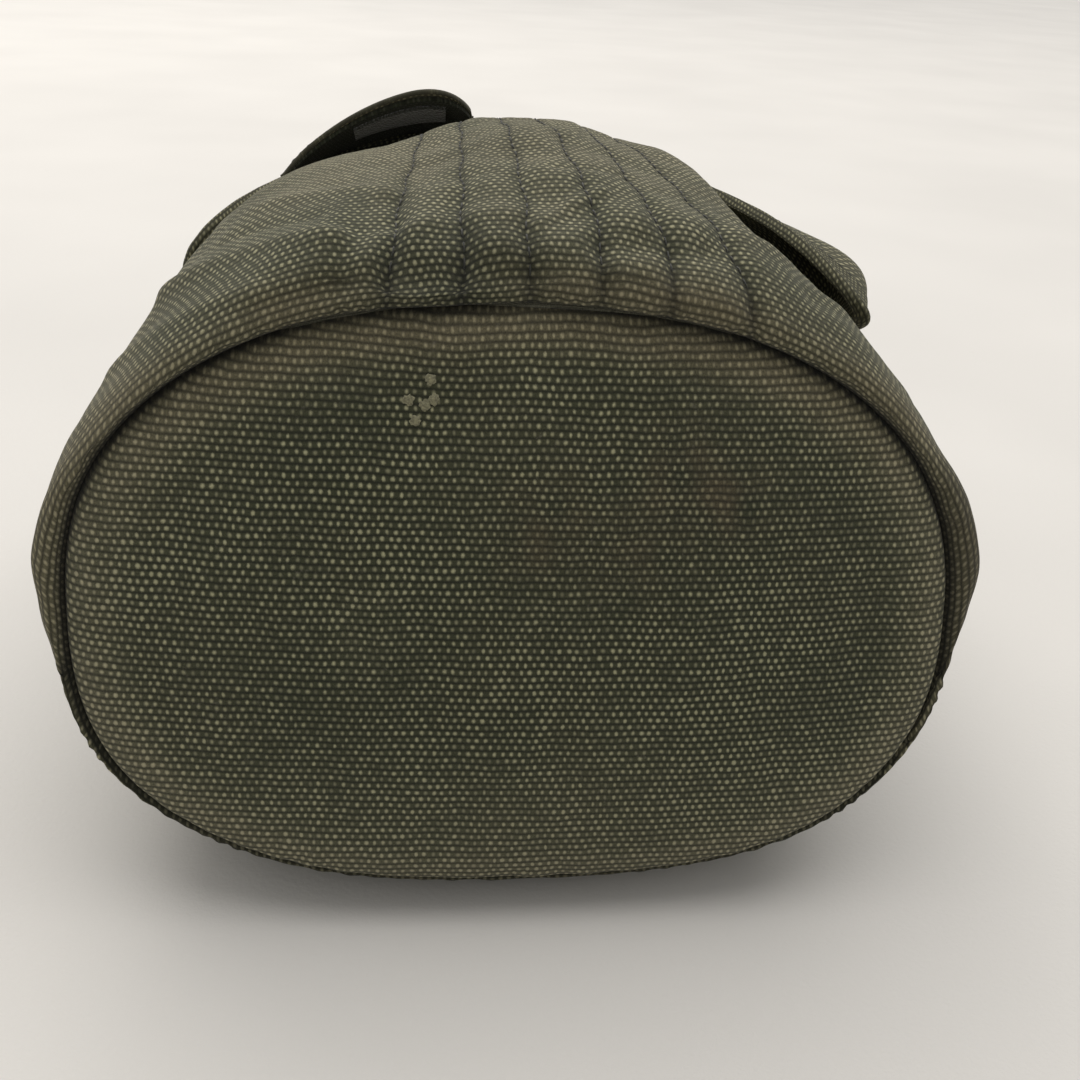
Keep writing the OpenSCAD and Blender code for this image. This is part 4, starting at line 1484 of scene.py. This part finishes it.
class BAG_OT_stitching(BagOperator, bpy.types.Operator):
    """Sews the rows of stitching"""

    bl_idname = "bag.stitching"
    bl_label = "Stitching"

    def execute(self, context):
        wall_piece = bpy.data.objects["front_wall"]
        depsgraph = context.evaluated_depsgraph_get()
        down = Vector((0, 0, -1))
        rows = []
        for i in range(len(QUILT)):
            points, normals = [], []
            for y in np.arange(19.5, 140, 1.2):
                x = float(quilt_x(i, y))
                start = metres((x, y, 160))
                hit, where, normal, _ = wall_piece.ray_cast(Vector(start), down, depsgraph=depsgraph)
                if hit:
                    points.append(np.array(where) * 1000 + (0, SEAM_TO_MOUTH / 2, 0))
                    normals.append(np.array(normal))
            rows.append((points, normals))
        stitches("quilt_stitches", rows, "shell", "tape", 2.3, 0.8, 0.17)
        right, all_round = np.linspace(0.56, 0.98, 90), np.linspace(0.01, 0.99, 160)
        lid_rows = [row_on(skirt_shape, right, np.full_like(right, 0.05), 0.1),
                    row_on(skirt_shape, all_round, np.full_like(all_round, 0.9), 0.1)]
        stitches("lid_stitches", lid_rows, "lid", "tape", 2.4, 0.9, 0.12)
        short = np.linspace(0.06, 0.94, 60)
        tab_rows = [row_on(tab_top, short, np.full_like(short, 0.14), 0.05)]
        stitches("tab_stitches", tab_rows, "tab", "tape", 2.2, 0.9, 0.18)
        root_rows = [row_on(tab_fold_shape, short, np.full_like(short, v), 0.05) for v in (0.55, 0.9)]
        stitches("tab_root_stitches", root_rows, "lid", "tape", 2.2, 0.9, 0.18)
        # a box with a cross in it, along the bag and up
        low, high = -20.5, -9
        box = ((low, -10), (low, 10), (high, 10), (high, -10), (low, -10), (high, 10), (high, -10), (low, 10))
        for name, hand in (("left", -1), ("right", 1)):
            spots = []
            for (y0, z0), (y1, z1) in zip(box, box[1:]):
                t = np.linspace(0, 1, 12)
                spots.append(side_place(hand, np.full(12, 0.07), y0 + (y1 - y0) * t, z0 + (z1 - z0) * t))
            none = np.zeros(1)
            out = side_place(hand, none + 1, none, none) - side_place(hand, none, none, none)
            rows = [(run, np.repeat(out, len(run), axis=0)) for run in spots]
            stitches(f"{name}_loop_stitches", rows, "shell", "tape", 2.2, 0.8, 0.2)
        return {"FINISHED"}


class BAG_OT_snags(BagOperator, bpy.types.Operator):
    """Adds the small tufts of snagged thread on the base"""

    bl_idname = "bag.snags"
    bl_label = "Snagged threads"

    def execute(self, context):
        panel = bpy.data.objects["base_panel"]
        depsgraph = context.evaluated_depsgraph_get()
        tufts = []
        rng = np.random.default_rng(7)
        for x, z in ((-16.6, 97.0), (-20.3, 93.7), (-17.4, 92.9), (-19.1, 90.5), (-15.9, 93.9)):
            start = metres((x, -60, z))
            hit, where, normal, _ = panel.ray_cast(Vector(start), Vector((0, 1, 0)), depsgraph=depsgraph)
            if not hit:
                raise RuntimeError("the base panel is not where its snags should be")
            bpy.ops.object.select_all(action="DESELECT")
            bpy.ops.mesh.primitive_ico_sphere_add(subdivisions=4, radius=0.0009, location=where)
            tuft = context.object
            choose(tuft)
            bpy.ops.object.transform_apply(location=True, rotation=True, scale=True)
            co = np.empty(len(tuft.data.vertices) * 3)
            tuft.data.vertices.foreach_get("co", co)
            co = co.reshape(-1, 3)
            mid = np.array(where)
            way = (co - mid) * 1000
            lumps = 1 + 0.28 * ripple(way, 0.9, int(rng.integers(999)))
            lumps = lumps + 0.18 * ripple(way, 0.4, int(rng.integers(999)))
            flat = way - 0.45 * (way @ np.array(normal))[:, None] * np.array(normal)
            tuft.data.vertices.foreach_set("co", (mid + flat * lumps[:, None] * 0.001).ravel())
            bpy.ops.object.shade_smooth()
            tufts.append(tuft)
        snags = joined(tufts)
        snags.name = "snagged_threads"
        finish(snags, finish_named("pale_thread"), "shell", "canvas")
        return {"FINISHED"}


class BAG_OT_stage(BagOperator, bpy.types.Operator):
    """Sets the pale floor, the soft light and the camera"""

    bl_idname = "bag.stage"
    bl_label = "Stage"

    def execute(self, context):
        bpy.ops.object.select_all(action="DESELECT")
        bpy.ops.mesh.primitive_plane_add(size=14, location=(0, 4.5, 0))
        floor = context.object
        floor.name = "floor"
        choose(floor)
        bpy.ops.object.transform_apply(location=True, rotation=False, scale=False)
        material, tree, inputs = shader("pale_floor", roughness=0.9)
        place = place_of(tree)
        soft = noise(tree, place, 6, 2).outputs[0]
        weave_marks = noise(tree, place, 900, 3, 0.6).outputs[0]
        shade = spread(tree, soft, 0.3, 0.7, 0.97, 1.03, "LINEAR")
        tree.links.new(shaded(tree, (0.65, 0.635, 0.612), shade), inputs["Base Color"])
        relief_into(tree, inputs, weave_marks, 0.0002, 0.5)
        floor.data.materials.append(material)

        world = bpy.data.worlds.new("Soft room")
        context.scene.world = world
        world.use_nodes = True
        background = world.node_tree.nodes["Background"].inputs
        background["Color"].default_value = (1.0, 0.985, 0.96, 1)
        background["Strength"].default_value = 0.50
        sun = bpy.data.lights.new("Sky light", "SUN")
        sun.energy = 2.0
        sun.angle = math.radians(75)
        sun.color = (1.0, 0.975, 0.94)
        overhead = bpy.data.objects.new("Sky light", sun)
        overhead.rotation_euler = (Vector((-0.12, -0.42, -1))).to_track_quat("-Z", "Y").to_euler()
        context.scene.collection.objects.link(overhead)
        light = bpy.data.lights.new("Window", "AREA")
        light.size = 1.6
        light.energy = 18
        light.color = (1.0, 0.955, 0.89)
        lamp = bpy.data.objects.new("Window", light)
        lamp.location = (-0.9, 1.5, 1.7)
        lamp.rotation_euler = (Vector((0, 0.1, 0.05)) - lamp.location).to_track_quat("-Z", "Y").to_euler()
        context.scene.collection.objects.link(lamp)

        yaw, pitch, roll = math.radians(6.03), math.radians(28.6), math.radians(3.53)
        ahead = Vector((math.sin(yaw) * math.cos(pitch), math.cos(yaw) * math.cos(pitch), -math.sin(pitch)))
        right = Vector((math.cos(yaw), -math.sin(yaw), 0))
        up = right.cross(ahead)
        turned_right = right * math.cos(roll) + up * math.sin(roll)
        turned_up = up * math.cos(roll) - right * math.sin(roll)
        lens = bpy.data.cameras.new("Camera")
        lens.sensor_width = 36
        lens.lens = 38.6
        lens.clip_start = 0.01
        camera = bpy.data.objects.new("Camera", lens)
        turn = Matrix((turned_right, turned_up, -ahead)).transposed().to_4x4()
        camera.matrix_world = Matrix.Translation((-0.0159, -0.2531, 0.1687)) @ turn
        context.scene.collection.objects.link(camera)
        context.scene.camera = camera
        context.scene.view_settings.view_transform = "Standard"
        return {"FINISHED"}


class BAG_PT_panel(bpy.types.Panel):
    """Sizes, colours and pieces of the camera bag"""

    bl_idname = "BAG_PT_panel"
    bl_label = "Canvas camera bag"
    bl_space_type = "VIEW_3D"
    bl_region_type = "UI"
    bl_category = "Camera Bag"

    def draw(self, context):
        layout = self.layout
        for group in (context.scene.bag_sizes, context.scene.bag_colours):
            column = layout.column(align=True)
            for key in group.__annotations__:
                column.prop(group, key)
        column = layout.column(align=True)
        for operator in OPERATORS:
            column.operator(operator.bl_idname)


OPERATORS = (
    BAG_OT_stage,
    BAG_OT_front_wall,
    BAG_OT_back_wall,
    BAG_OT_base_panel,
    BAG_OT_inside,
    BAG_OT_mouth,
    BAG_OT_closing_tapes,
    BAG_OT_rings,
    BAG_OT_divider,
    BAG_OT_lid,
    BAG_OT_tab,
    BAG_OT_stitching,
    BAG_OT_snags,
)
CLASSES = (BagColours, BagSizes) + OPERATORS + (BAG_PT_panel,)


def register():
    for each in CLASSES:
        bpy.utils.register_class(each)
    bpy.types.Scene.bag_colours = bpy.props.PointerProperty(type=BagColours)
    bpy.types.Scene.bag_sizes = bpy.props.PointerProperty(type=BagSizes)


def unregister():
    del bpy.types.Scene.bag_sizes
    del bpy.types.Scene.bag_colours
    for each in reversed(CLASSES):
        bpy.utils.unregister_class(each)


def main():
    register()
    bpy.ops.bag.stage()
    bpy.ops.bag.front_wall()
    bpy.ops.bag.back_wall()
    bpy.ops.bag.base_panel()
    bpy.ops.bag.inside()
    bpy.ops.bag.mouth()
    bpy.ops.bag.closing_tapes()
    bpy.ops.bag.rings()
    bpy.ops.bag.divider()
    bpy.ops.bag.lid()
    bpy.ops.bag.tab()
    bpy.ops.bag.stitching()
    bpy.ops.bag.snags()


if __name__ == "__main__":
    main()
